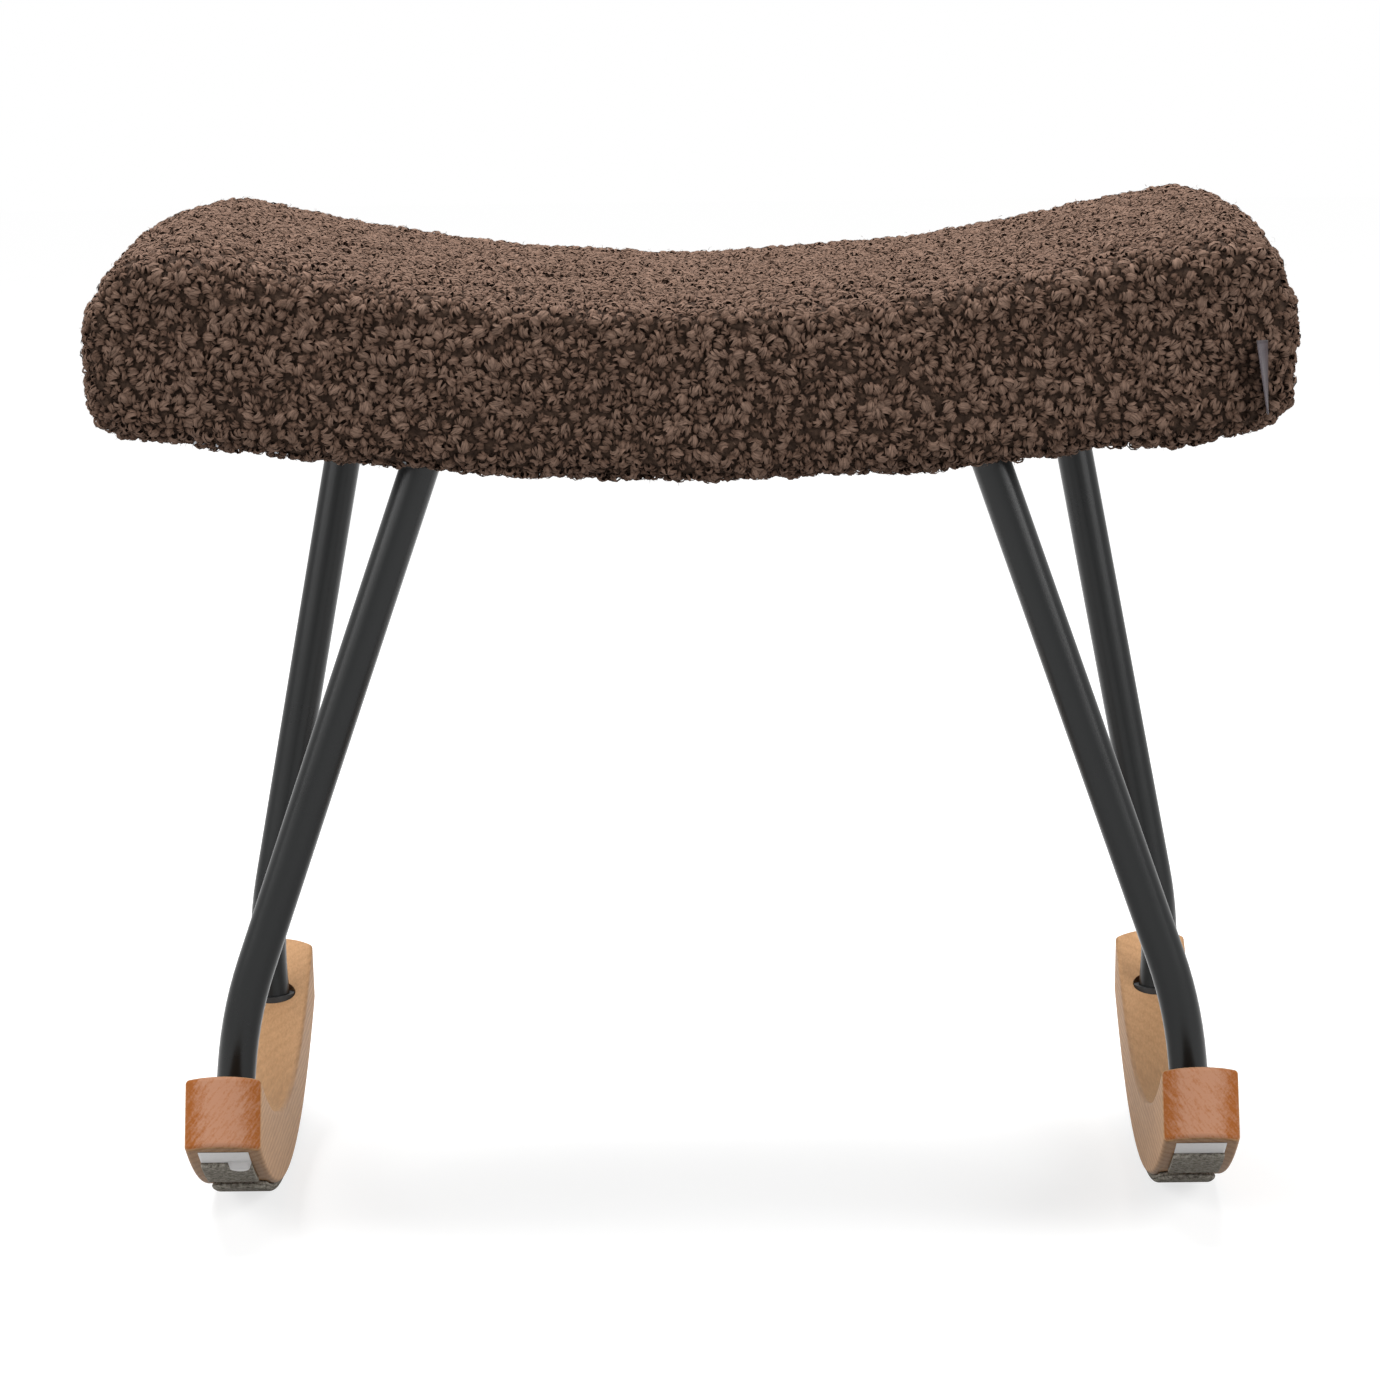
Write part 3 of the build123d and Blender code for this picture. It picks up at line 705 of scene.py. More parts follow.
@dataclass(frozen=True)
class Grained(Finish):
    """A finish with a cloudy tone and a fine grain: paper, plywood, foam, zinc or moulded plastic."""

    grain_mm: float = 1.0
    stretch: tuple[float, float, float] = (1.0, 1.0, 1.0)
    contrast: float = 0.12
    relief_mm: float = 0.03

    def pattern(self, tree: Tree, shader: Node) -> None:
        """Varies tone and relief with one noise of the grain's real size.

        Args:
            tree: The material's node tree.
            shader: The Principled shader.
        """
        grain = noise(tree, self.place(tree, self.grain_mm, self.stretch), 3.0)
        shade = remap(tree, grain, (0.3, 0.7), (1 - self.contrast, 1 + self.contrast))
        tree.links.new(shaded(tree, linear(self.colour)[:3], shade), shader.inputs["Base Color"])
        self.bump(tree, shader, grain, self.relief_mm, 0.5)


# Teddy cloth, polyester: no gloss, so the curls show by their own shade, with painted shade at their roots and
# a painted highlight at their tips.
PILE = CurlyPile("brown_teddy_pile", "#574338", 0.95, gloss=0.12)
# The same cloth between the curls: matted, and painted darker as the shade down among the curls, so that the
# curls stand out.
GROUND = PileGround("brown_teddy_ground", "#44352c", 1.0, gloss=0.1)
# Polyester powder coat on mild steel tube: near black, with soft highlights down its length.
COAT = PowderCoat("satin_black_powder_coat", "#040607", 0.29, gloss=0.3)
# Beech, sawn to the curve, sanded and oiled: pale tan with a low sheen.
BEECH = SawnBeech("oiled_beech", "#ba916a", 0.5, gloss=0.04)
# Needled wool-mix felt: grey and matt, flecked with light and dark fibres.
FELT = Felt("grey_wool_felt", "#b3ada1", 1.0, gloss=0.1)
# Woven polyester satin ribbon, blank: a soft gleam. Its threads are drawn coarser than real ones, to show.
RIBBON = Woven("satin_ribbon", "#3c3238", 0.36, thread_mm=0.5, sheen=0.12)
# Spunbond polypropylene sheet under the seat: black and dull, with a faint even grid.
SPUNBOND = Woven("black_spunbond", "#16161a", 0.85, thread_mm=1.4, relief_mm=0.08)
# Coated label paper, blank: off-white and smooth, with a low gloss.
PAPER = Grained("blank_paper_label", "#d6d4d3", 0.45, grain_mm=2.0, contrast=0.03, relief_mm=0.01)
# Bent birch plywood, raw: pale straw with long soft streaks.
PLYWOOD = Grained("birch_plywood", "#c9a77d", 0.65, grain_mm=2.5, stretch=(20, 1, 1), contrast=0.12)
# Open-cell polyurethane foam: cream and matt, with small pores.
FOAM = Grained("polyurethane_foam", "#e6dfc6", 0.95, grain_mm=1.2, contrast=0.08, relief_mm=0.2)
# Bright zinc plating on steel: cool grey with a slightly uneven shine.
ZINC = Grained("zinc_plated_steel", "#a9abae", 0.35, metallic=1.0, grain_mm=3.0, contrast=0.06,
               relief_mm=0.01)
# Black oxide on screw steel: dark, with a dull metal shine.
BLACK_OXIDE = Grained("black_oxide_steel", "#26272a", 0.42, metallic=0.9, grain_mm=2.0, contrast=0.08)
# Injection-moulded nylon: black with a fine even grain.
MOULDED = Grained("moulded_black_nylon", "#0c0c0d", 0.55, grain_mm=0.8, contrast=0.1, relief_mm=0.02)


# ------------------------------------------------------------------ upholstery


class Panel(Enum):
    """The sewn pieces of the cover, each of which stands for one CAD node."""

    TOP = "cover_top_panel"
    FRONT = "cover_front_band"
    REAR = "cover_rear_band"
    LEFT = "cover_left_end_band"
    RIGHT = "cover_right_end_band"


def together(shapes: Sequence[Shape]) -> Shape:
    """Joins shapes end to end, with their quads renumbered.

    Args:
        shapes: Points, quads and a value for each point.

    Returns:
        The same for all of them.
    """
    starts = np.cumsum([0] + [len(points) for points, _, _ in shapes[:-1]])
    return (np.concatenate([points for points, _, _ in shapes]),
            np.concatenate([quads + start for (_, quads, _), start in zip(shapes, starts)]),
            np.concatenate([values for _, _, values in shapes]))


def ramp_up(values: np.ndarray, start: float, end: float) -> np.ndarray:
    """Runs from 0 at the start to 1 at the end, level outside.

    Args:
        values: The values.
        start: Where the ramp starts.
        end: Where it ends.

    Returns:
        Shares from 0 to 1.
    """
    return np.clip((values - start) / (end - start), 0, 1)


def eased(share: np.ndarray) -> np.ndarray:
    """Turns a straight ramp into one with soft ends.

    Args:
        share: Values from 0 to 1.

    Returns:
        The same with soft ends.
    """
    return share**2 * (3 - 2 * share)


@dataclass
class Curl:
    """One curl of the pile: flat strands of combed fibre that roll over side by side."""

    turn: float  # how far the strands roll, in radians
    radius: float
    seed: int
    strands: int = 5
    steps: int = 5
    overlap: float = 1.2
    spread: float = 0.22  # how far the strands lie out of line, in radians
    flat: float = 0.85
    reach: float = 64.0  # degrees either side of the knob's waist that the strands cover
    own_turn: tuple[float, float] = (0.8, 1.15)  # a strand's roll, as a share of the curl's
    own_size: tuple[float, float] = (0.86, 1.12)  # how loose a strand lies
    flare: tuple[float, float] = (-0.3, 0.7)  # how much looser its ends lie
    end_width: float = 0.55  # width of a strand's ends, as a share of its middle
    off_top: float = 0.25  # how far from the top a strand's middle lies, in radians

    def build(self) -> Shape:
        """Spins each strand as a band of a soft knob, loosens it and lays the bands together.

        Returns:
            Corner positions in metres, quads, and each corner's place along and across the strands.
        """
        rng = np.random.default_rng(self.seed)
        bands = []
        for number in range(self.strands):
            places, quads, along = self._band(number, rng)
            across = (number + np.tile([0.1, 0.9], len(places) // 2)) / self.strands
            bands.append((places, quads, np.stack([along, across], axis=1)))
        places, quads, strand = together(bands)
        places = places * [1, 1, self.flat]
        places -= [places[:, 0].mean(), places[:, 1].mean(), places[:, 2].min()]
        return places, quads, strand

    def _band(self, number: int, rng: np.random.Generator) -> Shape:
        """Spins one strand, thins its ends and turns it to roll over the top of the knob.

        Args:
            number: Which strand, counted across the knob.
            rng: The seeded source of chance.

        Returns:
            Corner positions, quads, and how far along the strand each corner is.
        """
        slice_angle = math.radians(2 * self.reach) / self.strands
        middle = math.radians(-self.reach) + slice_angle * (number + 0.5)
        turn = self.turn * rng.uniform(*self.own_turn)
        form = bmesh.new()
        ends = []
        for side in (-0.5, 0.5):
            latitude = middle + side * slice_angle * self.overlap
            corner = Vector((math.cos(latitude), 0, math.sin(latitude))) * self.radius
            ends.append(form.verts.new(corner))
        edge = form.edges.new(ends)
        bmesh.ops.spin(form, geom=ends + [edge], cent=(0, 0, 0), axis=(0, 0, 1), angle=turn,
                       steps=self.steps)
        places, quads = points_and_faces(form)
        along = np.repeat(np.arange(len(places) // 2), 2) / self.steps
        centres = places.reshape(-1, 2, 3).mean(axis=1).repeat(2, axis=0)
        thin = self.end_width + (1 - self.end_width) * np.sin(math.pi * along)
        loose = rng.uniform(*self.own_size) + (along - 0.5) ** 2 * rng.uniform(*self.flare)
        places = (centres + (places - centres) * thin[:, None]) * loose[:, None]
        centred = Matrix.Rotation(-turn / 2 + rng.normal(0, self.off_top), 3, "Z")
        upright = Matrix.Rotation(-math.pi / 2, 3, "Y") @ centred
        aside = Matrix.Rotation(rng.normal(0, self.spread), 3, "X")
        lean = aside @ Matrix.Rotation(rng.normal(0, 2 * self.spread), 3, "Z")
        return places @ np.array(lean @ upright).T, quads, along


@dataclass
class Fibre:
    """A stray fibre that stands out of the curls: a narrow bent ribbon."""

    length: float = 0.0026
    width: float = 0.00022
    bend: float = 2.2

    def build(self) -> Shape:
        """Bends a strip of two quads into an arc.

        Returns:
            Corner positions in metres, quads, and each corner's place along and across the ribbon.
        """
        form = bmesh.new()
        strip = bmesh.ops.create_grid(form, x_segments=2, y_segments=1, size=0.5)["verts"]
        bmesh.ops.scale(form, verts=strip, vec=(self.length, self.width, 1))
        bmesh.ops.translate(form, verts=strip, vec=(self.length / 2, 0, 0))
        places, quads = points_and_faces(form)
        along = places[:, 0] / self.length
        radius = self.length / self.bend
        turn = along * self.bend
        tapered = places[:, 1] * (1.2 - along)
        bent = np.stack([radius * (1 - np.cos(turn)), tapered, radius * np.sin(turn)], axis=1)
        return bent, quads, np.stack([along, along * 0], axis=1)


@dataclass(frozen=True)
class Fullness:
    """A place along the seat where hand filling swelled the cover, unlike its other end."""

    x: float
    spread: float
    amount: float
    over: int = 0  # 1 over the top, -1 along the lower edge, 0 on the bands


@dataclass
class Upholstery:
    """The padded seat: a swollen form under sewn panels of curly pile."""

    voxel: float = 0.005
    smooth_factor: float = 0.5
    pile_depth: float = 0.0028  # ground cloth to the outside of the solid model
    lower_share: float = -0.15  # share of that depth at the turned-under edge; negative stands out
    lower_rise: float = 0.016  # height over which the pile reaches its full depth
    lower_swell: float = 0.022  # height of a fuller lower edge
    top_edge: tuple[float, float] = (-0.004, 0.008)  # between these heights over its seam the top panel begins
    swell_cap: float = 0.0016
    seam_pin: float = 0.006  # cloth this near a seam or the underside is held
    frames: int = 20
    pressure: float = 4.0
    seam_depth: float = 0.0016
    seam_width: float = 0.007
    seam_mid_z: float = 0.3715
    seam_radius: float = 1.8
    corner_x: float = 0.232
    corner_y: float = 0.165  # corner seams show in front of and behind this
    under_z: float = 0.3170
    under_radius: float = 1.503
    under_edge: float = 0.009  # height of the turned-under edge over the underside
    under_inside: tuple[float, float] = (0.217, 0.157)  # bare underside, half length and half depth
    lump_sizes: tuple[tuple[float, float], ...] = ((0.070, 0.0004), (0.012, 0.0005))
    lump_waves: int = 14
    end_ease: float = 0.0034  # how much further in the top panel lies along its end edges
    end_from: float = 0.222
    end_to: float = 0.242
    fuller: tuple[Fullness, ...] = (
        Fullness(0.221, 0.014, 0.0056, over=1), Fullness(-0.209, 0.011, 0.0026, over=1),
        Fullness(0.202, 0.016, 0.0028, over=-1), Fullness(0.02, 0.085, 0.0026, over=-1),
        Fullness(-0.246, 0.008, 0.0022), Fullness(0.246, 0.008, 0.0008))
    spacing: float = 0.0024
    curl_sink: float = 0.0011
    crowding: float = 2.4  # roots tried for each one that finds room
    top_pressed: float = 0.6  # how far the top's curls are sat flat and their painted root-to-tip shade evened out
    faces_up: tuple[float, float] = (0.5, 0.9)  # upward part of the normal, from where it is sat on
    pressed_flat: float = 0.45  # how much of its height a curl that is wholly sat flat loses
    pressed_height: float = 0.75  # and the height whose colour it takes in the painted root-to-tip shade
    curl_height: float = 0.0029
    curl_tilt: float = 0.42
    curl_sizes: tuple[float, float] = (0.8, 1.25)
    fibres_per_curl: float = 0.4
    fibre_tilt: float = 0.8
    fibre_lift: float = 0.0006
    fibre_strays: float = 0.0011
    # What the curls' attribute says on the ground cloth: low, of middle shade, on no strand.
    ground_values: tuple[float, float, float, float] = (0.1, 0.5, 0.0, 1.0)
    seed: int = 11
    curls: list[Curl] = field(default_factory=lambda: [
        Curl(4.2, 0.00225, 1), Curl(4.8, 0.00200, 2), Curl(3.9, 0.00245, 3), Curl(5.0, 0.00180, 4),
        Curl(4.4, 0.00220, 5), Curl(3.7, 0.00235, 6), Curl(4.6, 0.00180, 7), Curl(4.1, 0.00210, 8)])
    fibre: Fibre = field(default_factory=Fibre)

    # -- heights of the seams

    def seam_z(self, x: np.ndarray) -> np.ndarray:
        """Height of the seam between the top panel and the bands.

        Args:
            x: Places along the seat.

        Returns:
            Heights in metres.
        """
        return self.seam_mid_z + self.seam_radius - np.sqrt(self.seam_radius**2 - x**2)

    def floor_z(self, x: np.ndarray) -> np.ndarray:
        """Height of the seat's underside.

        Args:
            x: Places along the seat.

        Returns:
            Heights in metres.
        """
        return self.under_z + self.under_radius - np.sqrt(self.under_radius**2 - x**2)

    def seam_distance(self, co: np.ndarray) -> np.ndarray:
        """How far each point is from the nearest seam.

        Args:
            co: Points, one row each.

        Returns:
            Distances in metres.
        """
        above = co[:, 2] - self.seam_z(co[:, 0])
        side = np.abs(above)
        corner = np.abs(np.abs(co[:, 0]) - self.corner_x)
        corner = np.where((above < 0) & (np.abs(co[:, 1]) > self.corner_y), corner, np.inf)
        return np.minimum(side, corner)

    def panel_of(self, co: np.ndarray) -> np.ndarray:
        """Number of the panel that each point belongs to, in the order of Panel.

        Args:
            co: Points, one row each.

        Returns:
            One number a point, or -1 on the underside inside the turned-under edge.
        """
        above = co[:, 2] > self.seam_z(co[:, 0])
        at_end = np.abs(co[:, 0]) > self.corner_x
        found = np.where(co[:, 1] < 0, 1, 2)
        found = np.where(at_end, np.where(co[:, 0] < 0, 3, 4), found)
        found = np.where(above, 0, found)
        low = co[:, 2] < self.floor_z(co[:, 0]) + self.under_edge
        inner = (np.abs(co[:, :2]) < self.under_inside).all(axis=1)
        return np.where(low & inner, -1, found)

    # -- the padded form

    def swollen_form(self) -> bpy.types.Object:
        """Blows the cover's own outside up a little between its seams.

        Returns:
            A closed, smooth form without live modifiers.
        """
        covers = [panel.value for panel in Panel]
        form = shown("seat_form", to_mesh(merged(*covers, "foam_pad", "seat_board"), "seat_form"))
        self._apply(form, "REMESH", mode="VOXEL", voxel_size=self.voxel, use_smooth_shade=True)
        self._apply(form, "SMOOTH", factor=self.smooth_factor, iterations=4)
        self._keep_largest(form)
        self._sink(form.data)
        self._inflate(form)
        self._apply(form, "SUBSURF", levels=1, render_levels=1)
        return form

    @staticmethod
    def _apply(target: bpy.types.Object, kind: str, **settings) -> None:
        """Adds a modifier, sets it and bakes it into the mesh.

        Args:
            target: The object.
            kind: Blender's name for the modifier.
            settings: Its properties.
        """
        modifier = target.modifiers.new(kind.lower(), kind)
        for name, value in settings.items():
            setattr(modifier, name, value)
        done = bpy.data.meshes.new_from_object(target.evaluated_get(bpy.context.evaluated_depsgraph_get()))
        target.modifiers.clear()
        target.data = done

    @staticmethod
    def _keep_largest(target: bpy.types.Object) -> None:
        """Drops inner shells that the remesh leaves, keeping the outer one.

        Args:
            target: The remeshed object.
        """
        form = bmesh.new()
        form.from_mesh(target.data)
        form.verts.ensure_lookup_table()
        unseen = set(form.verts)
        shells = []
        while unseen:
            stack = [unseen.pop()]
            shell = []
            while stack:
                vert = stack.pop()
                shell.append(vert)
                for edge in vert.link_edges:
                    other = edge.other_vert(vert)
                    if other in unseen:
                        unseen.remove(other)
                        stack.append(other)
            shells.append(shell)
        for shell in sorted(shells, key=len)[:-1]:
            bmesh.ops.delete(form, geom=shell, context="VERTS")
        form.to_mesh(target.data)
        form.free()

    def _sink(self, mesh: bpy.types.Mesh) -> None:
        """Moves the form in by the depth of the pile, less along the lower edge, and makes it uneven.

        Args:
            mesh: The form's mesh.
        """
        co, normals = self._read(mesh)
        x, height = co[:, 0], co[:, 2] - self.floor_z(co[:, 0])
        raised = ramp_up(height, 0, self.lower_rise)
        over = ramp_up(co[:, 2] - self.seam_z(x), *self.top_edge)
        levels = {1: over, -1: 1 - ramp_up(height, 0, self.lower_swell), 0: 1 - over}
        depth = self.pile_depth * (raised + self.lower_share * (1 - raised))
        depth += self.end_ease * eased(ramp_up(np.abs(x), self.end_from, self.end_to)) * over
        for place in self.fuller:
            bell = np.exp(-((x - place.x) / place.spread) ** 2 / 2)
            depth -= place.amount * bell * levels[place.over]
        rng = np.random.default_rng(self.seed)
        for size, lift in self.lump_sizes:
            waves = rng.normal(0, 1, (self.lump_waves, 3))
            waves *= 2 * math.pi / size / np.linalg.norm(waves, axis=1, keepdims=True)
            sums = np.sin(co @ waves.T + rng.uniform(0, 2 * math.pi, self.lump_waves)).sum(axis=1)
            depth += lift * sums / math.sqrt(self.lump_waves / 2)
        self._write(mesh, co - normals * depth[:, None])

    @staticmethod
    def _read(mesh: bpy.types.Mesh) -> tuple[np.ndarray, np.ndarray]:
        """Reads a mesh's points and their normals.

        Args:
            mesh: The mesh.

        Returns:
            Points and normals, one row each.
        """
        both = []
        for name in ("co", "normal"):
            values = np.empty(len(mesh.vertices) * 3, np.float32)
            mesh.vertices.foreach_get(name, values)
            both.append(values.reshape(-1, 3).astype(float))
        return both[0], both[1]

    @staticmethod
    def _write(mesh: bpy.types.Mesh, places: np.ndarray) -> None:
        """Moves a mesh's points.

        Args:
            mesh: The mesh.
            places: New points, one row each.
        """
        mesh.vertices.foreach_set("co", places.astype(np.float32).ravel())
        mesh.update()

    def _inflate(self, form: bpy.types.Object) -> None:
        """Runs the cloth with its seams and underside held, then caps how far it moved.

        Args:
            form: The padded form, moved in place.
        """
        start = self._read(form.data)[0].astype(np.float32)
        under = start[:, 2] < self.floor_z(start[:, 0]) + self.seam_pin
        held = np.flatnonzero((self.seam_distance(start) < self.seam_pin) | under)
        pins = form.vertex_groups.new(name="sewn")
        pins.add([int(number) for number in held], 1.0, "REPLACE")
        cloth = form.modifiers.new("cloth", "CLOTH")
        cloth.settings.vertex_group_mass = pins.name
        cloth.settings.use_pressure = True
        cloth.settings.uniform_pressure_force = self.pressure
        cloth.settings.effector_weights.gravity = 0.0
        cloth.settings.quality = 4
        cloth.settings.tension_stiffness = 12
        cloth.settings.compression_stiffness = 12
        cloth.point_cache.frame_end = self.frames
        scene = bpy.context.scene
        for step in range(1, self.frames + 1):
            scene.frame_set(step)
        done = bpy.data.meshes.new_from_object(form.evaluated_get(bpy.context.evaluated_depsgraph_get()))
        moved = self._read(done)[0].astype(np.float32) - start
        length = np.linalg.norm(moved, axis=1, keepdims=True)
        moved *= np.minimum(1.0, self.swell_cap / np.maximum(length, 1e-9))
        form.modifiers.clear()
        self._write(form.data, start + moved)
        form.vertex_groups.clear()
        scene.frame_set(1)
        bpy.data.meshes.remove(done)

    def _sew(self, mesh: bpy.types.Mesh) -> None:
        """Pulls the cloth in along its seams.

        Args:
            mesh: The padded form's mesh.
        """
        co, normals = self._read(mesh)
        near = np.clip(1 - self.seam_distance(co) / self.seam_width, 0, 1)
        self._write(mesh, co - normals * (self.seam_depth * eased(near))[:, None])

    # -- the pile

    def _roots(self, co: np.ndarray, tris: np.ndarray, normals: np.ndarray, rng: np.random.Generator
               ) -> tuple[np.ndarray, np.ndarray]:
        """Scatters the curls' roots evenly over the panel's triangles.

        Args:
            co: The panel's points.
            tris: Its triangles.
            normals: Its points' normals.
            rng: The seeded source of chance.

        Returns:
            Root positions and their normals.
        """
        a, b, c = (co[tris[:, k]] for k in range(3))
        area = np.linalg.norm(np.cross(b - a, c - a), axis=1) / 2
        wanted = int(area.sum() / self.spacing**2 * self.crowding)
        pick = rng.choice(len(tris), wanted, p=area / area.sum())
        u, v = rng.random((2, wanted, 1))
        flip = u + v > 1
        u, v = np.where(flip, 1 - u, u), np.where(flip, 1 - v, v)
        spots = a[pick] + u * (b - a)[pick] + v * (c - a)[pick]
        up = normals[tris[pick]]
        up = up[:, 0] * (1 - u - v) + up[:, 1] * u + up[:, 2] * v
        up /= np.linalg.norm(up, axis=1, keepdims=True)
        tree = KDTree(wanted)
        for k, spot in enumerate(spots):
            tree.insert(spot, k)
        tree.balance()
        free = np.ones(wanted, bool)
        kept = []
        for k in range(wanted):
            if not free[k]:
                continue
            kept.append(k)
            for _, other, _ in tree.find_range(spots[k], self.spacing):
                free[other] = False
        return spots[kept], up[kept]

    def _pile(self, spots: np.ndarray, up: np.ndarray, rng: np.random.Generator) -> Shape:
        """Sets a curl on each root, and stray fibres among them.

        Args:
            spots: Root positions.
            up: Surface normals there.
            rng: The seeded source of chance.

        Returns:
            All points, all quads, and each point's curl colours.
        """
        shapes = [curl.build() for curl in self.curls]
        kind = rng.integers(0, len(shapes), len(spots))
        own = np.clip(rng.normal(0.5, 0.2, len(spots)), 0, 1)
        made = []
        for number, shape in enumerate(shapes):
            here = np.flatnonzero(kind == number)
            made.append(self._place(shape, spots[here], up[here], own[here], rng, self.curl_tilt,
                                    self.curl_sink))
        stray = rng.integers(0, len(spots), int(len(spots) * self.fibres_per_curl))
        beside = spots[stray] + rng.normal(0, self.fibre_strays, (len(stray), 3))
        made.append(self._place(self.fibre.build(), beside, up[stray], own[stray], rng, self.fibre_tilt,
                                -self.fibre_lift))
        return together(made)

    def _place(self, shape: Shape, spots: np.ndarray, up: np.ndarray, own: np.ndarray,
               rng: np.random.Generator, tilt: float, sink: float) -> Shape:
        """Copies one shape to many roots, turned, tilted and sized by chance.

        Args:
            shape: Points, quads and places along and across the strand.
            spots: Root positions.
            up: Surface normals there.
            own: A shade number for each copy.
            rng: The seeded source of chance.
            tilt: Spread of the tilt.
            sink: How deep each copy's foot stands in the ground cloth.

        Returns:
            Points, quads and curl colours of all copies.
        """
        places, faces, strand = shape
        count = len(spots)
        lean = up + rng.normal(0, tilt, (count, 3))
        lean /= np.linalg.norm(lean, axis=1, keepdims=True)
        side = np.cross(lean, rng.normal(0, 1, (count, 3)))
        side /= np.linalg.norm(side, axis=1, keepdims=True)
        third = np.cross(lean, side)
        hand = np.where(rng.random(count) < 0.5, 1.0, -1.0)
        size = rng.uniform(*self.curl_sizes, count)
        axes = np.stack([side * hand[:, None], third, lean], axis=1) * size[:, None, None]
        pressed = self.top_pressed * ramp_up(up[:, 2], *self.faces_up)
        offset = np.einsum("vi,nij->nvj", places, axes) - (up * sink)[:, None]
        offset -= np.einsum("nvj,nj,nk,n->nvk", offset, up, up, self.pressed_flat * pressed)
        height = np.einsum("nvj,nj->nv", offset, up) / self.curl_height
        order = np.where(hand[:, None, None] > 0, faces[None], faces[None, :, ::-1])
        quads = order + np.arange(count)[:, None, None] * len(places)
        colour = np.ones((count, len(places), 4), np.float32)
        pressed = pressed[:, None]
        # Height sets the painted shade at the roots and the painted highlight at the tips.
        colour[:, :, 0] = np.clip(height * (1 - pressed) + self.pressed_height * pressed, 0, 1)
        colour[:, :, 1] = own[:, None]
        colour[:, :, 2:] = strand[None]
        return (offset + spots[:, None]).reshape(-1, 3), quads.reshape(-1, 4), colour.reshape(-1, 4)

    def build(self, pile: bpy.types.Material, ground: bpy.types.Material) -> None:
        """Makes the five sewn panels with their pile.

        Args:
            pile: The curls' finish.
            ground: The finish of the cloth between the curls.
        """
        form = self.swollen_form()
        self._sew(form.data)
        co, normals = self._read(form.data)
        quads = np.array([face.vertices[:] for face in form.data.polygons])
        owner = self.panel_of(co[quads].mean(axis=1))
        for number, panel in enumerate(Panel):
            rng = np.random.default_rng(self.seed + number)
            used, flat = np.unique(quads[owner == number], return_inverse=True)
            faces = flat.reshape(-1, 4)
            tris = np.concatenate([faces[:, [0, 1, 2]], faces[:, [0, 2, 3]]])
            spots, up = self._roots(co[used], tris, normals[used], rng)
            curls = self._pile(spots, up, rng)
            plain = np.tile(np.array(self.ground_values, np.float32), (len(used), 1))
            name = panel.value + "_pile"
            mesh = self._panel_mesh(name, (co[used], faces, plain), curls, [pile, ground])
            finish_piece(name, mesh, pile, "curly_pile_fabric", panel.value)
            LOG.info("%s: %d curls, %d faces", panel.value, len(spots), len(mesh.polygons))
        bpy.data.objects.remove(form)

    def build_foam(self, material: bpy.types.Material) -> None:
        """Makes the foam pad that fills the cover, clear of the ground cloth.

        Args:
            material: The foam's finish.
        """
        core = shown("foam_core", to_mesh(merged("foam_pad"), "foam_core"))
        self._apply(core, "REMESH", mode="VOXEL", voxel_size=self.voxel * 1.6, use_smooth_shade=True)
        self._apply(core, "SMOOTH", factor=self.smooth_factor, iterations=3)
        co, normals = self._read(core.data)
        self._write(core.data, co - normals * self.pile_depth)
        core.data.materials.append(material)
        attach(core, "root")
        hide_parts("foam_pad")
        LOG.info("foam_core made")

    @staticmethod
    def _panel_mesh(name: str, base: Shape, curls: Shape, materials: Sequence[bpy.types.Material]
                    ) -> bpy.types.Mesh:
        """Joins a panel's ground cloth and its curls into one mesh.

        Args:
            name: Name of the mesh.
            base: The ground cloth's points, quads and colours.
            curls: The same of its curls.
            materials: The curls' finish and the ground's.

        Returns:
            The mesh, with the curls' colours on its points.
        """
        mesh = bpy.data.meshes.new(name)
        everything, faces, tints = together([base, curls])
        mesh.vertices.add(len(everything))
        mesh.vertices.foreach_set("co", everything.astype(np.float32).ravel())
        mesh.loops.add(faces.size)
        mesh.loops.foreach_set("vertex_index", faces.astype(np.int32).ravel())
        mesh.polygons.add(len(faces))
        mesh.polygons.foreach_set("loop_start", np.arange(0, faces.size, 4, dtype=np.int32))
        mesh.polygons.foreach_set("use_smooth", np.ones(len(faces), bool))
        mesh.update(calc_edges=True)
        colours = mesh.color_attributes.new("curl", "FLOAT_COLOR", "POINT")
        colours.data.foreach_set("color", tints.astype(np.float32).ravel())
        for material in materials:
            mesh.materials.append(material)
        on_ground = np.arange(len(faces)) < len(base[1])
        mesh.polygons.foreach_set("material_index", on_ground.astype(np.int32))
        return mesh


# ------------------------------------------------------------------ studio


@dataclass(frozen=True)
class Softbox:
    """One large soft lamp."""

    name: str
    place: tuple[float, float, float]
    size: tuple[float, float]  # width and height in metres
    watts: float
    aim: tuple[float, float, float] = (0, 0, 0.3)

    def hang(self) -> None:
        """Hangs the lamp in its place and points it at its aim."""
        light = bpy.data.lights.new(self.name, "AREA")
        light.shape = "RECTANGLE"
        light.size, light.size_y = self.size
        light.energy = self.watts
        lamp = shown(self.name, light)
        lamp.location = self.place
        lamp.rotation_euler = (Vector(self.aim) - Vector(self.place)).to_track_quat("-Z", "Y").to_euler()


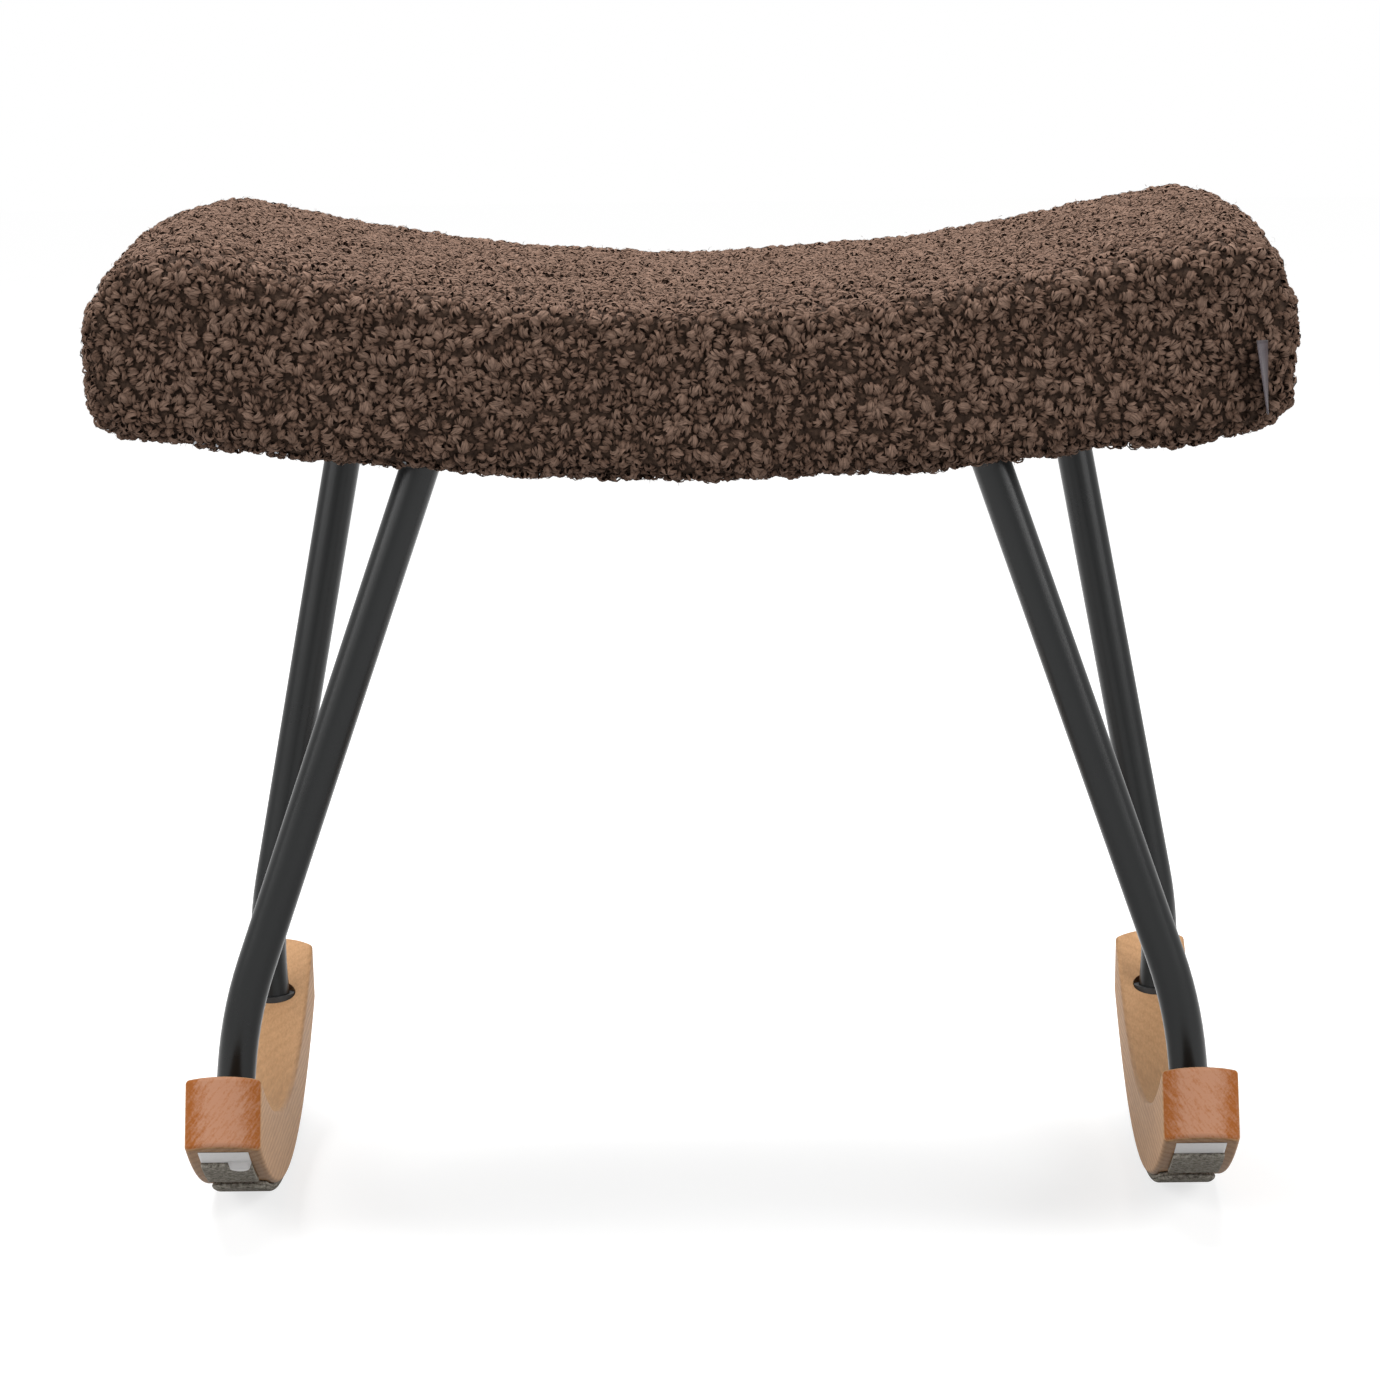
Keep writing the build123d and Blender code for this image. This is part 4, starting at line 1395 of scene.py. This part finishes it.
@dataclass
class Studio:
    """Pale floor, soft lamps and the camera of the photograph."""

    focal_pixels: float = 7200.0
    image_pixels: float = 1380.0
    sensor: float = 36.0
    place: tuple[float, float, float] = (0.0193, -3.0609, 0.5756)
    yaw: float = -0.423
    pitch: float = 6.859
    roll: float = -0.635
    glow_reach: tuple[float, float] = (0.35, 1.3)  # the floor's own light grows over this distance
    glow: tuple[float, float] = (0.72, 0.97)  # its strength there, so a soft shadow stays by the stool
    fill: float = 0.05  # even light from all round
    softboxes: tuple[Softbox, ...] = (
        Softbox("top_softbox", (-0.2, 0.3, 2.2), (1.6, 1.6), 92),
        Softbox("left_softbox", (-1.85, -1.40, 1.20), (2.2, 1.2), 45),
        Softbox("right_softbox", (1.80, -1.45, 1.20), (1.7, 1.2), 46))

    def camera(self) -> None:
        """Sets the camera where the photograph was taken from."""
        yaw, pitch, roll = (math.radians(a) for a in (self.yaw, self.pitch, self.roll))
        level = Vector((math.sin(yaw), math.cos(yaw), 0))
        ahead = level * math.cos(pitch) + Vector((0, 0, -math.sin(pitch)))
        right = Vector((math.cos(yaw), -math.sin(yaw), 0))
        above = right.cross(ahead)
        turned = right * math.cos(roll) + above * math.sin(roll)
        upright = above * math.cos(roll) - right * math.sin(roll)
        lens = bpy.data.cameras.new("photo_camera")
        lens.sensor_width = self.sensor
        lens.lens = self.focal_pixels / self.image_pixels * self.sensor
        lens.clip_end = 100
        camera = shown("photo_camera", lens)
        matrix = Matrix((turned, upright, -ahead)).transposed().to_4x4()
        matrix.translation = Vector(self.place)
        camera.matrix_world = matrix
        bpy.context.scene.camera = camera

    def floor(self) -> None:
        """Lays a pale floor that shows white to the camera and keeps the shadow."""
        form = bmesh.new()
        bmesh.ops.create_circle(form, cap_ends=True, segments=96, radius=8.0)
        mesh = to_mesh(form, "studio_floor")
        made = node_material("pale_studio_floor")
        tree = made.node_tree
        paint = add(tree, "ShaderNodeBsdfDiffuse", {"Color": linear("#a6a6a6")})
        coords = add(tree, "ShaderNodeTexCoord")
        away = add(tree, "ShaderNodeVectorMath", {0: coords.outputs["Object"]}, operation="LENGTH")
        level = remap(tree, away.outputs["Value"], self.glow_reach, self.glow)
        glow = add(tree, "ShaderNodeEmission", {"Strength": level})
        none = add(tree, "ShaderNodeEmission", {"Strength": 0.0})
        shares = {0: seen_directly(tree), 1: none.outputs[0], 2: glow.outputs[0]}
        lift = add(tree, "ShaderNodeMixShader", shares)
        total = add(tree, "ShaderNodeAddShader", {0: paint.outputs[0], 1: lift.outputs[0]})
        add(tree, "ShaderNodeOutputMaterial", {"Surface": total.outputs[0]})
        mesh.materials.append(made)
        floor = shown("studio_floor", mesh)

    def world(self) -> None:
        """Fills the room with even pale light, white where the camera or a gloss sees it."""
        world = bpy.data.worlds.new("studio")
        bpy.context.scene.world = world
        world.use_nodes = True
        tree = world.node_tree
        tree.nodes.clear()
        level = remap(tree, seen_directly(tree), target=(self.fill, 1.0))
        sky = add(tree, "ShaderNodeBackground", {"Color": (1, 1, 1, 1), "Strength": level})
        add(tree, "ShaderNodeOutputWorld", {"Surface": sky.outputs[0]})

    def build(self) -> None:
        """Sets up camera, lamps, floor and world."""
        bpy.context.scene.view_settings.view_transform = "Standard"
        self.camera()
        self.floor()
        self.world()
        for softbox in self.softboxes:
            softbox.hang()


# ------------------------------------------------------------------ stool


@dataclass
class SeamTag:
    """Blank satin ribbon, folded and sewn into the right front corner seam, a little twisted."""

    root_x: float = 0.2308
    length: float = 0.0125
    height: float = 0.029
    fold: float = 0.0004
    thick: float = 0.00018
    top_turn: float = 0.40
    bottom_turn: float = 0.05
    cup: float = 0.0008
    rise: float = 0.0012  # how much higher the loose end stands where the ribbon is turned

    def build(self, material: bpy.types.Material) -> None:
        """Folds a strip round its loop, then twists it about its sewn edge.

        Args:
            material: The ribbon's finish.
        """
        corners = np.array([vert.co[:] for vert in NODES["seam_tag"].data.vertices])
        sewn_y = corners[:, 1].max()
        middle_z = (corners[:, 2].min() + corners[:, 2].max()) / 2
        form = bmesh.new()
        verts = bmesh.ops.create_grid(form, x_segments=30, y_segments=14, size=0.5)["verts"]
        whole = 2 * self.length + math.pi * self.fold
        for vert in verts:
            run, level = (vert.co.x + 0.5) * whole, vert.co.y
            bend = min(max((run - self.length) / self.fold, 0.0), math.pi)
            if bend <= 0:
                out = run
            elif bend >= math.pi:
                out = whole - run
            else:
                out = self.length + self.fold * math.sin(bend)
            cupped = self.cup * math.sin(math.pi * out / self.length) * (0.5 + level)
            aside = self.fold * math.cos(bend) + cupped
            turn = self.top_turn + (self.bottom_turn - self.top_turn) * (0.5 - level)
            raised = self.rise * math.sin(turn) * out / self.length
            vert.co = (self.root_x - out * math.sin(turn) + aside * math.cos(turn),
                       sewn_y - out * math.cos(turn) - aside * math.sin(turn),
                       middle_z + self.height * level + raised)
        mesh = sheet_mesh(form, self.thick, "seam_tag_ribbon")
        finish_piece("seam_tag_ribbon", mesh, material, "satin_tag", "seam_tag")


@dataclass
class Label:
    """Blank paper label stuck under the front end of a rocker; the left one laps onto the pad."""

    side: str
    lobe: float = 0.0
    width: float = 0.0205
    front_y: float = -0.1885
    back_y: float = -0.1714
    arc_centre_z: float = 0.4631
    rocker_radius: float = 0.460
    pad_thick: float = 0.002
    thick: float = 0.00014
    glue: tuple[float, float] = (0.00015, 0.00025)  # gap under the sheet, on the wood and more on the pad
    step: float = 0.0007  # length of the step up onto the pad
    step_early: float = 1.15  # the step starts this many lengths before the pad
    lobe_place: tuple[float, float] = (0.04, 0.44)  # where the lobe starts and how wide it is, in widths

    def build(self, material: bpy.types.Material) -> None:
        """Lays a sheet on the running surface, with a straight or a wavy rear edge.

        Args:
            material: The label's finish.
        """
        xs = [v.co.x for v in NODES[f"{self.side}_label"].data.vertices]
        middle = (min(xs) + max(xs)) / 2
        form = bmesh.new()
        verts = bmesh.ops.create_grid(form, x_segments=28, y_segments=36, size=0.5)["verts"]
        for vert in verts:
            along = min(max((vert.co.x - self.lobe_place[0]) / self.lobe_place[1], 0.0), 1.0)
            bump = math.sin(math.pi * along) ** 0.7
            y = self.front_y + (vert.co.y + 0.5) * (self.back_y - self.front_y + self.lobe * bump)
            climbed = min(max((y - self.back_y) / self.step + self.step_early, 0.0), 1.0)
            onto = climbed * min(4 * bump * (self.lobe > 0), 1.0)
            radius = self.rocker_radius + self.glue[0] + (self.pad_thick + self.glue[1]) * onto
            vert.co = (middle + vert.co.x * self.width, y, self.arc_centre_z - math.sqrt(radius**2 - y**2))
        name = f"{self.side}_label_sheet"
        mesh = sheet_mesh(form, self.thick, name)
        finish_piece(name, mesh, material, "blank_label", f"{self.side}_label")


@dataclass
class FeltPiece:
    """A felt strip or pad with its cut edges worn soft."""

    node: str
    ease: float

    def build(self, material: bpy.types.Material) -> None:
        """Rounds the solid model's edges.

        Args:
            material: The felt's finish.
        """
        form = merged(self.node)
        bmesh.ops.dissolve_limit(form, angle_limit=math.radians(0.2), verts=form.verts, edges=form.edges)
        sharp = [edge for edge in form.edges if len(edge.link_faces) == 2
                 and edge.calc_face_angle(0.0) > math.radians(40)]
        bmesh.ops.bevel(form, geom=sharp, offset=self.ease, offset_type="OFFSET", segments=4, profile=0.5,
                        affect="EDGES", clamp_overlap=False)
        bmesh.ops.triangulate(form, faces=[face for face in form.faces if len(face.verts) > 4])
        name = self.node + "_soft"
        finish_piece(name, to_mesh(form, name), material, "grey_felt", self.node)


@dataclass
class Hardware:
    """Pieces that keep the solid model's own shape and only get their finish."""

    def dress(self) -> None:
        """Gives each node its finish."""
        corners = [f"{end}_{side}" for end in ("front", "rear") for side in ("left", "right")]
        dress(COAT.material(), *(f"{corner}_leg" for corner in corners), "front_rail", "rear_rail")
        dress(MOULDED.material(), *(f"{corner}_collar" for corner in corners))
        dress(BEECH.material(), "left_rocker", "right_rocker")
        dress(SPUNBOND.material(), "dust_cover")
        dress(PLYWOOD.material(), "seat_board")
        dress(ZINC.material(), "staples", "t_nuts", "foot_plugs", "foot_screws", "foot_washers")
        dress(BLACK_OXIDE.material(), "rail_screws")
        LOG.info("hardware dressed")


LEFT_LAP = 0.0062  # the left label's rear edge laps this far onto its pad
STRIP_EDGE = 0.0019  # wear of the felt strips' cut edges
PAD_EDGE = 0.0007  # the same of the short pads


def main() -> None:
    """Builds the stool's pieces in order, then the studio."""
    logging.basicConfig(level=logging.INFO, format="%(message)s")
    Studio().build()
    Hardware().dress()
    seat = Upholstery()
    seat.build(PILE.material(), GROUND.material())
    seat.build_foam(FOAM.material())
    SeamTag().build(RIBBON.material())
    felt, paper = FELT.material(), PAPER.material()
    for side, lobe in (("left", LEFT_LAP), ("right", 0.0)):
        Label(side, lobe).build(paper)
        FeltPiece(f"{side}_felt_strip", STRIP_EDGE).build(felt)
        for end in ("front", "rear"):
            FeltPiece(f"{side}_{end}_felt_pad", PAD_EDGE).build(felt)


if __name__ == "__main__":
    main()
